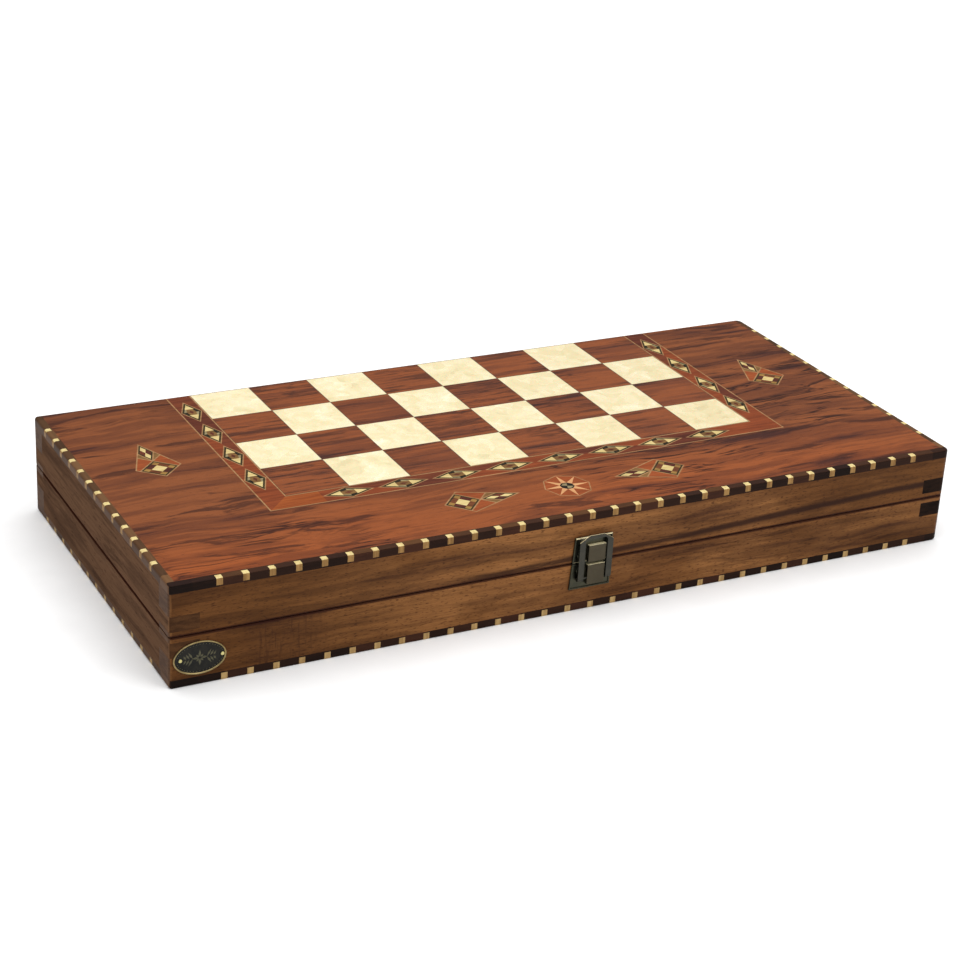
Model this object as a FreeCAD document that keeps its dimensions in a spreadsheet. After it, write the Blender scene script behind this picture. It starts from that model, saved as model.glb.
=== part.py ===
import FreeCAD, Part
import math
import os
import Sketcher

# Folding backgammon case with a chess pattern inlaid on its outer faces.
# Millimetres. Origin: bottom centre of the closed case. +X runs along the length,
# +Y to the hinged back, +Z up. The upper half is the lower half turned over.

Vector = FreeCAD.Vector
Placement = FreeCAD.Placement
Rotation = FreeCAD.Rotation

doc = FreeCAD.newDocument("backgammon_set")
sheet = doc.addObject("Spreadsheet::Sheet", "sizes")

SIZES = [
    # the case
    ("case_length", 500.0), ("case_depth", 235.0), ("wall_height", 25.2), ("panel_thick", 4.2),
    ("veneer_thick", 0.8), ("seam_gap", 0.4), ("side_wall", 17.0), ("long_wall", 15.0),
    ("corner_radius", 2.0), ("rubbed_corner_radius", 4.2), ("face_radius", 1.6),
    ("front_radius", 1.0), ("seam_radius", 0.5),
    ("finger_height", 9.0), ("finger_from_seam", 3.0), ("field_thick", 0.6),
    # edge banding with light blocks let into it
    ("banding_width", 4.5), ("banding_height", 5.0), ("block_width", 3.6), ("block_deep", 3.6),
    ("block_tall", 4.2), ("front_block_pitch", 14.81), ("side_block_pitch", 15.4),
    ("side_block_start", 28.4), ("front_blocks", 31), ("side_blocks", 13),
    ("lower_block_shift", 2.8), ("upper_block_shift", 0.0),
    # chess area and marquetry
    ("inlay_shift", -2.0), ("square_size", 38.55), ("board_front", -37.4), ("band_width", 15.6),
    ("side_diamond_pitch", 34.4), ("side_diamond_back", 92.3), ("side_diamond_half_long", 15.8),
    ("diamond_half_wide", 6.7), ("front_diamond_pitch", 34.1), ("front_diamond_half_long", 16.0),
    ("kite_long", 47.9), ("kite_widest", 13.3), ("kite_half_wide", 13.9),
    ("kite_side_offset", 206.3), ("kite_side_base", 8.3), ("kite_front_line", -80.0),
    ("kite_front_base", 78.8), ("star_radius", 14.6), ("motif_shift", -4.3),
    ("kite_side_shift", -1.2), ("kite_side_drift", 1.8), ("kite_side_turn", 1.2),
    ("star_shift", -3.4), ("star_line", -81.3),
    # playing points inside
    ("point_long", 165.0), ("point_base", 30.0),
    # hinges
    ("hinge_spread", 330.0), ("hinge_long", 38.0), ("leaf_thick", 1.0), ("leaf_reach", 16.0),
    ("knuckle_radius", 2.3), ("hinge_pin_radius", 1.1), ("pin_clearance", 0.05),
    ("knuckle_gap", 0.3), ("end_knuckle", 10.0), ("mortise_clearance", 0.05),
    ("screw_radius", 1.1), ("screw_head_radius", 2.1), ("screw_long", 11.0),
    ("slot_wide", 0.5), ("slot_deep", 0.4),
    ("screw_pitch", 13.0), ("screw_drop", 10.4), ("hinge_pin_overhang", 0.5),
    # latch
    ("latch_x", 2.0), ("plate_wide", 26.2), ("plate_shift", -1.6), ("plate_reach", 16.0),
    ("plate_thick", 0.6),
    ("tongue_wide", 11.0), ("tongue_shift", 1.2), ("tongue_proud", 2.75),
    ("tongue_low", 17.0), ("tongue_high", 41.4),
    ("frame_wide", 21.6), ("frame_top", 48.0), ("frame_bar", 2.2), ("frame_thick", 0.6),
    ("window_wide", 14.2), ("frame_chamfer", 6.2), ("latch_pin_radius", 0.45),
    ("latch_pin_level", 21.0), ("latch_knuckle_radius", 1.4), ("latch_proud", 3.6),
    ("knuckle_behind_face", 0.1), ("frame_chamfer_tall", 3.8), ("tongue_radius", 0.5),
    ("nail_radius", 0.7), ("nail_head_radius", 1.6), ("nail_head_thick", 0.5),
    ("nail_crown", 0.4), ("nail_long", 9.0), ("nail_spread", 18.0), ("nail_from_seam", 4.5),
    # nameplate
    ("plaque_long", 29.6), ("plaque_tall", 19.5), ("plaque_x", -233.2), ("plaque_z", 16.2),
    ("plaque_thick", 0.8), ("plaque_rim", 1.1), ("plaque_sunk", 0.3),
    ("plaque_pin_shift", 0.9),
    ("plaque_pin_spread", 23.4), ("plaque_pin_radius", 1.1), ("plaque_pin_proud", 0.7),
    # checkers and dice
    ("checker_radius", 16.5), ("checker_thick", 9.0), ("checker_pitch", 33.6),
    ("checker_margin", 0.8), ("checker_rim", 3.2), ("checker_dish", 1.3),
    ("dish_slope", 0.9), ("ring_inner_radius", 6.9), ("ring_outer_radius", 9.2),
    ("ring_slope", 0.4), ("ring_lift", 0.6), ("checker_edge", 1.0),
    ("die_size", 12.0), ("die_radius", 1.3), ("pip_radius", 1.15), ("pip_pitch", 3.1),
    ("pip_sink", 0.65), ("die_spread", 56.0), ("die_line", -82.0), ("die_stagger", 6.0),
]
BOARD_ROWS, BOARD_COLUMNS = 4, 8
SIDE_DIAMONDS, FRONT_DIAMONDS = 4, 8
LANES = 6
CHECKERS_IN_ROW = 5
TOUCH = 0.01

for row, (alias, value) in enumerate(SIZES, start=1):
    sheet.set(f"A{row}", alias)
    sheet.set(f"B{row}", str(value))
    sheet.setAlias(f"B{row}", alias)
doc.recompute()


def size(alias):
    """The plain number held under an alias of the sheet."""
    return float(sheet.get(alias))


def bind(obj, **expressions):
    """Bind properties to expressions; base_x, base_y and base_z set the position."""
    for prop, expression in expressions.items():
        path = f"Placement.Base.{prop[-1]}" if prop.startswith("base_") else prop
        obj.setExpression(path, expression)
    return obj


SHEET = "sizes."
HALF_LONG = f"{SHEET}case_length / 2"
HALF_DEEP = f"{SHEET}case_depth / 2"
WALL_BASE = f"({SHEET}veneer_thick + {SHEET}panel_thick)"
HALF_TALL = f"({WALL_BASE} + {SHEET}wall_height)"
nodes = {}


def add(kind, name):
    return doc.addObject(kind, name)


def block(name, x, y, z, long, deep, tall):
    """A Part::Box whose corner and sides are expressions."""
    box = add("Part::Box", name)
    return bind(box, Length=long, Width=deep, Height=tall, base_x=x, base_y=y, base_z=z)


def rod(name, centre, axis, radius, long):
    """A Part::Cylinder from a start point given as expressions, along X, Y or Z."""
    turn = {"X": Rotation(Vector(0, 1, 0), 90), "Y": Rotation(Vector(1, 0, 0), -90),
            "Z": Rotation()}
    cylinder = add("Part::Cylinder", name)
    cylinder.Placement = Placement(Vector(), turn[axis])
    bind(cylinder, Radius=radius, Height=long)
    return bind(cylinder, base_x=centre[0], base_y=centre[1], base_z=centre[2])


def group(name, members):
    """Separate solids that share one node."""
    compound = add("Part::Compound", name)
    compound.Links = members
    return compound


def fuse(name, members):
    union = add("Part::MultiFuse", name)
    union.Shapes = members
    return union


def cut(name, base, tool):
    result = add("Part::Cut", name)
    result.Base = base
    result.Tool = tool
    return result


def common(name, base, tool):
    result = add("Part::Common", name)
    result.Base = base
    result.Tool = tool
    return result


def plane_of(body, role):
    return next(f for f in body.Origin.OriginFeatures if f.Role == role)


def sketch_on(body, role, name):
    sketch = body.newObject("Sketcher::SketchObject", name)
    sketch.AttachmentSupport = [(plane_of(body, role), "")]
    sketch.MapMode = "FlatFace"
    return sketch


def draw(sketch, corners):
    """A closed outline whose corners are held at (x, y) expressions from the origin."""
    points = [tuple(evaluate(value) for value in corner) for corner in corners]
    first = sketch.GeometryCount
    count = len(corners)
    for start, end in zip(points, points[1:] + points[:1]):
        sketch.addGeometry(Part.LineSegment(Vector(*start, 0), Vector(*end, 0)), False)
    for i in range(count):
        after = first + (i + 1) % count
        sketch.addConstraint(Sketcher.Constraint("Coincident", first + i, 2, after, 1))
    for i, (corner, point) in enumerate(zip(corners, points)):
        for kind, axis, expression, value in zip(("DistanceX", "DistanceY"), (-2, -1),
                                                 corner, point):
            if expression == "0":
                sketch.addConstraint(Sketcher.Constraint("PointOnObject", first + i, 1, axis))
                continue
            index = sketch.addConstraint(Sketcher.Constraint(kind, -1, 1, first + i, 1, value))
            sketch.setExpression(f"Constraints[{index}]", expression)


def evaluate(expression):
    """The value in millimetres of an expression over the sheet."""
    value = sheet.evalExpression(expression)
    return float(getattr(value, "Value", value))


def pad(name, role, corners, depth, reverse=False):
    """A PartDesign body: one outline on an origin plane, padded by depth."""
    body = add("PartDesign::Body", name)
    sketch = sketch_on(body, role, name + "_outline")
    draw(sketch, corners)
    feature = body.newObject("PartDesign::Pad", name + "_pad")
    feature.Profile = sketch
    feature.Reversed = reverse
    feature.setExpression("Length", depth)
    sketch.Visibility = False
    body.Tip = feature
    return body


# ---------------------------------------------------------------- placing the halves

doc.recompute()
CASE_HEIGHT = f"(2 * {HALF_TALL} + {SHEET}seam_gap)"
case_height = evaluate(CASE_HEIGHT)
TURNED_OVER = Placement(Vector(0, 0, case_height), Rotation(Vector(0, 1, 0), 180))
PLACES = {"lower": Placement(), "upper": TURNED_OVER}


def finish_node(label, obj, place=None):
    """Name a sub-part after its file and set it in its place."""
    obj.Label = label
    if place is not None:
        obj.Placement = place
    nodes[label] = obj
    return obj


def rounded_half(half):
    """The outer block of one half, rounded most at the case's right-hand corners.

    The upper half is turned over when it is placed, so its right is drawn on the left.
    """
    raw = block(f"{half}_block", f"-{HALF_LONG}", f"-{HALF_DEEP}", "0",
                f"{SHEET}case_length", f"{SHEET}case_depth", HALF_TALL)
    doc.recompute()
    radii = []
    top = evaluate(HALF_TALL)
    for index, edge in enumerate(raw.Shape.Edges, start=1):
        low, high = sorted(vertex.Point.z for vertex in edge.Vertexes)
        at_back = min(vertex.Point.y for vertex in edge.Vertexes) > 0
        at_front = max(vertex.Point.y for vertex in edge.Vertexes) < 0
        right_of_case = (edge.CenterOfMass.x > 0) == (half == "lower")
        if high - low > top / 2 and right_of_case:
            radius = size("rubbed_corner_radius")
        elif high - low > top / 2:
            radius = size("corner_radius")
        elif high < top / 2 and at_front:
            radius = size("front_radius")
        elif high < top / 2 and not at_back:
            radius = size("face_radius")
        else:
            radius = size("seam_radius")
        radii.append((index, radius, radius))
    soft = add("Part::Fillet", f"{half}_rounded_block")
    soft.Base = raw
    soft.Edges = radii
    return soft


# ---------------------------------------------------------------- walls and panels

def finger_blocks(half, name):
    """The four end blocks of the side walls that pass through the long walls."""
    seam_side = f"{HALF_TALL} - {SHEET}finger_from_seam"
    members = []
    for x_name, x in (("left", f"-{HALF_LONG}"), ("right", f"{HALF_LONG} - {SHEET}side_wall")):
        for y_name, y in (("front", f"-{HALF_DEEP}"), ("back", f"{HALF_DEEP} - {SHEET}long_wall")):
            members.append(block(f"{half}_{name}_{x_name}_{y_name}", x, y,
                                 f"{seam_side} - {SHEET}finger_height", f"{SHEET}side_wall",
                                 f"{SHEET}long_wall", f"{SHEET}finger_height"))
    return members


def make_walls(half, envelope, place, cutters):
    """Four walls joined at the corners by one finger each, cut for the hardware."""
    fingers = group(f"{half}_finger_sockets", finger_blocks(half, "socket"))
    inner_deep = f"{SHEET}case_depth - 2 * {SHEET}long_wall"
    for side, y in (("front", f"-{HALF_DEEP}"), ("back", f"{HALF_DEEP} - {SHEET}long_wall")):
        corners = [(f"-{HALF_LONG}", WALL_BASE), (HALF_LONG, WALL_BASE),
                   (HALF_LONG, HALF_TALL), (f"-{HALF_LONG}", HALF_TALL)]
        board = pad(f"{half}_{side}_board", "XZ_Plane", corners, f"{SHEET}long_wall", True)
        board.setExpression("Placement.Base.y", y)
        notched = cut(f"{half}_{side}_notched", board, fingers)
        shaped = common(f"{half}_{side}_shaped", notched, envelope)
        tools = cutters[side]
        if tools:
            shaped = cut(f"{half}_{side}_bored", shaped, group(f"{half}_{side}_tools", tools))
        finish_node(f"{half}_{side}_wall", shaped, place)
    for side, x in (("left", f"-{HALF_LONG}"), ("right", f"{HALF_LONG} - {SHEET}side_wall")):
        board = block(f"{half}_{side}_board", x, f"-{HALF_DEEP} + {SHEET}long_wall", WALL_BASE,
                      f"{SHEET}side_wall", inner_deep, f"{SHEET}wall_height")
        members = [board]
        for member in finger_blocks(half, f"{side}_finger"):
            if f"_{side}_finger_{side}_" in member.Name:
                members.append(member)
            else:
                doc.removeObject(member.Name)
        joined = fuse(f"{half}_{side}_joined", members)
        joined.Refine = True
        shaped = common(f"{half}_{side}_shaped", joined, envelope)
        finish_node(f"{half}_{side}_wall", shaped, place)


def make_panel(half, envelope, place):
    """The thin panel glued under the walls, inside the edge banding."""
    edge = f"{SHEET}banding_width"
    board = block(f"{half}_panel_board", f"-{HALF_LONG} + {edge}", f"-{HALF_DEEP} + {edge}",
                  f"{SHEET}veneer_thick", f"{SHEET}case_length - 2 * {edge}",
                  f"{SHEET}case_depth - {edge}", f"{SHEET}panel_thick")
    finish_node(f"{half}_panel", common(f"{half}_panel_shaped", board, envelope), place)


# ---------------------------------------------------------------- edge banding

def make_banding(half, envelope, place):
    """Dark strips on three edges, with light blocks let into their outer corner."""
    width, tall = f"{SHEET}banding_width", f"{SHEET}banding_height"
    deep, wide = f"{SHEET}block_deep", f"{SHEET}block_width"
    across = f"{SHEET}block_tall"
    blocks = {"front": [], "left": [], "right": []}
    for i in range(int(size("front_blocks"))):
        x = (f"({i} - ({SHEET}front_blocks - 1) / 2) * {SHEET}front_block_pitch"
             f" - {wide} / 2 + {SHEET}{half}_block_shift")
        blocks["front"].append(block(f"{half}_front_block_{i}", x, f"-{HALF_DEEP}", "0",
                                     wide, deep, across))
    for i in range(int(size("side_blocks"))):
        y = (f"-{HALF_DEEP} + {SHEET}side_block_start + {i} * {SHEET}side_block_pitch"
             f" - {wide} / 2")
        blocks["left"].append(block(f"{half}_left_block_{i}", f"-{HALF_LONG}", y, "0",
                                    deep, wide, across))
        blocks["right"].append(block(f"{half}_right_block_{i}", f"{HALF_LONG} - {deep}", y,
                                     "0", deep, wide, across))
    strips = {
        "front": (f"-{HALF_LONG}", f"-{HALF_DEEP}", f"{SHEET}case_length", width),
        "left": (f"-{HALF_LONG}", f"-{HALF_DEEP} + {width}", width,
                 f"{SHEET}case_depth - {width}"),
        "right": (f"{HALF_LONG} - {width}", f"-{HALF_DEEP} + {width}", width,
                  f"{SHEET}case_depth - {width}"),
    }
    everything = []
    for side, (x, y, long, strip_deep) in strips.items():
        strip = block(f"{half}_{side}_strip", x, y, "0", long, strip_deep, tall)
        inlaid = group(f"{half}_{side}_blocks", blocks[side])
        notched = cut(f"{half}_{side}_notched_strip", strip, inlaid)
        shaped = common(f"{half}_{side}_banding_shaped", notched, envelope)
        finish_node(f"{half}_{side}_banding", shaped, place)
        everything.append(inlaid)
    all_blocks = group(f"{half}_all_blocks", everything)
    shaped = common(f"{half}_blocks_shaped", all_blocks, envelope)
    finish_node(f"{half}_edge_blocks", shaped, place)


# ---------------------------------------------------------------- marquetry

def prism(points, low, thick):
    """A flat polygon raised to a plate."""
    wire = Part.makePolygon([Vector(x, y, low) for x, y in points + points[:1]])
    return Part.Face(wire).extrude(Vector(0, 0, thick))


def rhombus(centre, half_long, half_wide, along_x):
    x, y = centre
    if along_x:
        return [(x - half_long, y), (x, y - half_wide), (x + half_long, y), (x, y + half_wide)]
    return [(x, y - half_long), (x + half_wide, y), (x, y + half_long), (x - half_wide, y)]


def kite(base, toward):
    """A kite from its base corner to its long tip, pointing along the unit vector."""
    side = (-toward[1], toward[0])
    long, widest, half = size("kite_long"), size("kite_widest"), size("kite_half_wide")

    def at(along, across):
        return (base[0] + along * toward[0] + across * side[0],
                base[1] + along * toward[1] + across * side[1])
    return [at(0, 0), at(widest, -half), at(long, 0), at(widest, half)]


def diamond_outlines():
    middle = size("inlay_shift")
    side_x = (BOARD_COLUMNS * size("square_size") + size("band_width")) / 2
    front_y = size("board_front") - size("band_width") / 2
    outlines = []
    for i in range(SIDE_DIAMONDS):
        y = size("side_diamond_back") - i * size("side_diamond_pitch")
        for x in (middle - side_x, middle + side_x):
            outlines.append(rhombus((x, y), size("side_diamond_half_long"),
                                    size("diamond_half_wide"), False))
    for i in range(FRONT_DIAMONDS):
        x = middle + (i - (FRONT_DIAMONDS - 1) / 2) * size("front_diamond_pitch")
        outlines.append(rhombus((x, front_y), size("front_diamond_half_long"),
                                size("diamond_half_wide"), True))
    return outlines


def field_motif_outlines():
    """Four kites and the star's octagon, laid by hand, so slightly out of line."""
    turn = math.radians(size("kite_side_turn"))
    toward = (math.sin(turn), math.cos(turn))
    outlines = []
    for direction in (-1, 1):
        side_x = size("kite_side_shift") + direction * size("kite_side_offset")
        side_y = size("kite_side_base") + direction * size("kite_side_drift")
        outlines.append(kite((side_x, side_y), toward))
        front_x = size("motif_shift") + direction * size("kite_front_base")
        outlines.append(kite((front_x, size("kite_front_line")), (-direction, 0)))
    octagon = []
    for degrees in range(0, 360, 45):
        angle = math.radians(degrees)
        octagon.append((size("star_shift") + size("star_radius") * math.cos(angle),
                        size("star_line") + size("star_radius") * math.sin(angle)))
    return outlines + [octagon]


def band_outlines():
    """The border's three mitred lengths, left, front and right of the squares."""
    middle, wide = size("inlay_shift"), size("band_width")
    inner = BOARD_COLUMNS * size("square_size") / 2
    outer = inner + wide
    front = size("board_front")
    back = front + BOARD_ROWS * size("square_size")
    return [
        [(middle - outer, back), (middle - inner, back), (middle - inner, front),
         (middle - outer, front - wide)],
        [(middle - outer, front - wide), (middle - inner, front), (middle + inner, front),
         (middle + outer, front - wide)],
        [(middle + inner, back), (middle + outer, back), (middle + outer, front - wide),
         (middle + inner, front)],
    ]


def shape_node(label, shape, place):
    """A node whose plates come from outlines and have no feature of their own."""
    feature = add("Part::Feature", label)
    feature.Shape = shape
    feature.Placement = place
    return finish_node(label, feature)


def make_outer_marquetry(half, envelope, place):
    """Squares, border band, diamonds, kites and star, flush in the outer veneer."""
    thick, edge = f"{SHEET}veneer_thick", f"{SHEET}banding_width"
    square = f"{SHEET}square_size"
    squares = {"light": [], "dark": []}
    for row in range(BOARD_ROWS):
        for column in range(BOARD_COLUMNS):
            tone = "light" if (row + column) % 2 else "dark"
            piece = block(f"{half}_square_{row}_{column}",
                          f"{SHEET}inlay_shift + ({column} - {BOARD_COLUMNS} / 2) * {square}",
                          f"{SHEET}board_front + ({BOARD_ROWS} - 1 - {row}) * {square}", "0",
                          square, square, thick)
            squares[tone].append(piece)
    for tone, pieces in squares.items():
        finish_node(f"{half}_{tone}_squares", group(f"{half}_{tone}_squares", pieces), place)

    low, deep = 0.0, size("veneer_thick")
    diamonds = [prism(points, low, deep) for points in diamond_outlines()]
    motifs = [prism(points, low, deep) for points in field_motif_outlines()]
    bands = [prism(points, low, deep).cut(diamonds) for points in band_outlines()]
    shape_node(f"{half}_border_band", Part.makeCompound(bands), place)
    shape_node(f"{half}_motif_inlays", Part.makeCompound(diamonds + motifs), place)

    sheet_block = block(f"{half}_veneer_sheet", f"-{HALF_LONG} + {edge}",
                        f"-{HALF_DEEP} + {edge}", "0",
                        f"{SHEET}case_length - 2 * {edge}", f"{SHEET}case_depth - {edge}", thick)
    window = block(f"{half}_veneer_window",
                   f"{SHEET}inlay_shift - {BOARD_COLUMNS} * {square} / 2 - {SHEET}band_width",
                   f"{SHEET}board_front - {SHEET}band_width", "0",
                   f"{BOARD_COLUMNS} * {square} + 2 * {SHEET}band_width",
                   f"{BOARD_ROWS} * {square} + {SHEET}band_width", thick)
    recesses = add("Part::Feature", f"{half}_motif_recesses")
    recesses.Shape = Part.makeCompound(motifs)
    open_sheet = cut(f"{half}_veneer_open", sheet_block, window)
    pierced = cut(f"{half}_veneer_pierced", open_sheet, recesses)
    shaped = common(f"{half}_veneer_shaped", pierced, envelope)
    finish_node(f"{half}_outer_veneer", shaped, place)


def make_playing_field(half, place):
    """Inner veneer with six long points inlaid from each end."""
    inner_long = size("case_length") - 2 * size("side_wall")
    inner_deep = size("case_depth") - 2 * size("long_wall")
    floor, thick = evaluate(WALL_BASE), size("field_thick")
    pitch = inner_deep / LANES
    points = {"light": [], "dark": []}
    for direction in (-1, 1):
        base_x = direction * inner_long / 2
        tip_x = base_x - direction * size("point_long")
        for i in range(LANES):
            y = -inner_deep / 2 + (i + 0.5) * pitch
            tone = "light" if (i + (direction > 0)) % 2 else "dark"
            reach = size("point_base") / 2
            outline = [(base_x, y - reach), (base_x, y + reach), (tip_x, y)]
            points[tone].append(prism(outline, floor, thick))
    for tone, plates in points.items():
        shape_node(f"{half}_{tone}_points", Part.makeCompound(plates), place)
    ground = block(f"{half}_field_sheet", f"-{HALF_LONG} + {SHEET}side_wall",
                   f"-{HALF_DEEP} + {SHEET}long_wall", WALL_BASE,
                   f"{SHEET}case_length - 2 * {SHEET}side_wall",
                   f"{SHEET}case_depth - 2 * {SHEET}long_wall", f"{SHEET}field_thick")
    recesses = add("Part::Feature", f"{half}_point_recesses")
    recesses.Shape = Part.makeCompound(points["light"] + points["dark"])
    finish_node(f"{half}_field_veneer", cut(f"{half}_field_inlaid", ground, recesses), place)


# ---------------------------------------------------------------- hinges

SEAM = f"({HALF_TALL} + {SHEET}seam_gap / 2)"
MORTISE = f"({SHEET}leaf_thick + {SHEET}mortise_clearance)"
HINGE_Y = f"({HALF_DEEP} - {SHEET}leaf_thick + {SHEET}knuckle_radius)"
HINGE_SIDES = {"left": "-1", "right": "1"}


def hinge_start(side):
    return f"({HINGE_SIDES[side]} * {SHEET}hinge_spread / 2 - {SHEET}hinge_long / 2)"


def hinge_screw(name, x, z):
    """A countersunk wood screw driven into the back wall, before and after it is slotted."""
    shank = rod(name + "_shank", (x, f"{HALF_DEEP} - {SHEET}screw_long", z), "Y",
                f"{SHEET}screw_radius", f"{SHEET}screw_long")
    head = add("Part::Cone", name + "_head")
    head.Placement = Placement(Vector(), Rotation(Vector(1, 0, 0), -90))
    bind(head, Radius1=f"{SHEET}screw_radius", Radius2=f"{SHEET}screw_head_radius",
         Height=f"{SHEET}screw_head_radius - {SHEET}screw_radius", base_x=x,
         base_y=f"{HALF_DEEP} - ({SHEET}screw_head_radius - {SHEET}screw_radius)", base_z=z)
    slot = block(name + "_slot", f"{x} - {SHEET}screw_head_radius",
                 f"{HALF_DEEP} - {SHEET}slot_deep", f"{z} - {SHEET}slot_wide / 2",
                 f"2 * {SHEET}screw_head_radius", f"{SHEET}slot_deep", f"{SHEET}slot_wide")
    whole = fuse(name + "_blank", [shank, head])
    return whole, cut(name, whole, slot)


def make_leaf(side, half, screws):
    """One leaf with its knuckles; the lower leaf has two, the upper one between them."""
    up = "1" if half == "upper" else "-1"
    start, name = hinge_start(side), f"{side}_hinge_{half}"
    edge = f"({SHEET}knuckle_radius + {SHEET}knuckle_gap)"
    far = f"{SEAM} + {up} * {SHEET}leaf_reach"
    low = f"{SEAM} + {edge}" if half == "upper" else far
    plate = block(name + "_plate", start, f"{HALF_DEEP} - {SHEET}leaf_thick", low,
                  f"{SHEET}hinge_long", f"{SHEET}leaf_thick", f"{SHEET}leaf_reach - {edge}")
    inner_start = f"{start} + {SHEET}end_knuckle + {SHEET}knuckle_gap"
    inner_long = f"({SHEET}hinge_long - 2 * ({SHEET}end_knuckle + {SHEET}knuckle_gap))"
    stretches = {
        "upper": [(inner_start, inner_long)],
        "lower": [(start, f"{SHEET}end_knuckle"),
                  (f"{start} + {SHEET}hinge_long - {SHEET}end_knuckle", f"{SHEET}end_knuckle")],
    }
    members, bores = [plate], []
    for i, (x, long) in enumerate(stretches[half]):
        neck_low = SEAM if half == "upper" else f"{SEAM} - {edge}"
        members.append(block(f"{name}_neck_{i}", x, f"{HALF_DEEP} - {SHEET}leaf_thick", neck_low,
                             long, f"{SHEET}leaf_thick", edge))
        members.append(rod(f"{name}_knuckle_{i}", (x, HINGE_Y, SEAM), "X",
                           f"{SHEET}knuckle_radius", long))
        bores.append(rod(f"{name}_bore_{i}", (x, HINGE_Y, SEAM), "X",
                         f"{SHEET}hinge_pin_radius + {SHEET}pin_clearance", long))
    solid = fuse(name + "_solid", members)
    solid.Refine = True
    bored = cut(name + "_bored", solid, group(name + "_bores", bores))
    drilled = cut(name + "_drilled", bored, group(name + "_screw_holes", screws))
    finish_node(f"{side}_hinge_{half}_leaf", drilled)


def make_hinges():
    """Two butt hinges let into the back; returns what each back wall gives way to."""
    mortise_cutters = {"lower": [], "upper": []}
    pins = []
    for half, up in (("lower", "-1"), ("upper", "1")):
        level = f"{SEAM} + {up} * {SHEET}screw_drop"
        half_screws = []
        for side in HINGE_SIDES:
            blanks = []
            middle = f"{hinge_start(side)} + {SHEET}hinge_long / 2"
            for i in (-1, 0, 1):
                x = f"{middle} + {i} * {SHEET}screw_pitch"
                blank, screw = hinge_screw(f"{half}_{side}_screw_{i + 1}", x, level)
                blanks.append(blank)
                half_screws.append(screw)
            make_leaf(side, half, blanks)
            mortise_cutters[half] += blanks
            spare = f"{SHEET}mortise_clearance"
            low = SEAM if half == "upper" else f"{SEAM} - {SHEET}leaf_reach - {spare}"
            mortise_cutters[half].append(
                block(f"{half}_{side}_mortise", f"{hinge_start(side)} - {spare}",
                      f"{HALF_DEEP} - {MORTISE}", low, f"{SHEET}hinge_long + 2 * {spare}",
                      MORTISE, f"{SHEET}leaf_reach + {spare}"))
        finish_node(f"{half}_hinge_screws", group(f"{half}_hinge_screws", half_screws))
    over = f"{SHEET}hinge_pin_overhang"
    for side in HINGE_SIDES:
        pins.append(rod(f"{side}_hinge_pin", (f"{hinge_start(side)} - {over}", HINGE_Y, SEAM),
                        "X", f"{SHEET}hinge_pin_radius", f"{SHEET}hinge_long + 2 * {over}"))
    finish_node("hinge_pins", group("hinge_pins_group", pins))
    return mortise_cutters


# ---------------------------------------------------------------- latch

def nail(name, x, z):
    """A round-headed nail through a latch plate into the front wall."""
    face = f"-{HALF_DEEP} - {SHEET}plate_thick"
    shank = rod(name + "_shank", (x, face, z), "Y", f"{SHEET}nail_radius", f"{SHEET}nail_long")
    head = rod(name + "_head", (x, f"{face} - {SHEET}nail_head_thick", z), "Y",
               f"{SHEET}nail_head_radius", f"{SHEET}nail_head_thick")
    doc.recompute()
    crown = add("Part::Fillet", name + "_crown")
    crown.Base = head
    soft = size("nail_crown")
    crown.Edges = [(index, soft, soft) for index, edge in enumerate(head.Shape.Edges, start=1)
                   if abs(edge.BoundBox.YMin - head.Shape.BoundBox.YMin) < TOUCH
                   and edge.BoundBox.YLength < TOUCH]
    return fuse(name, [shank, crown])


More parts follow.
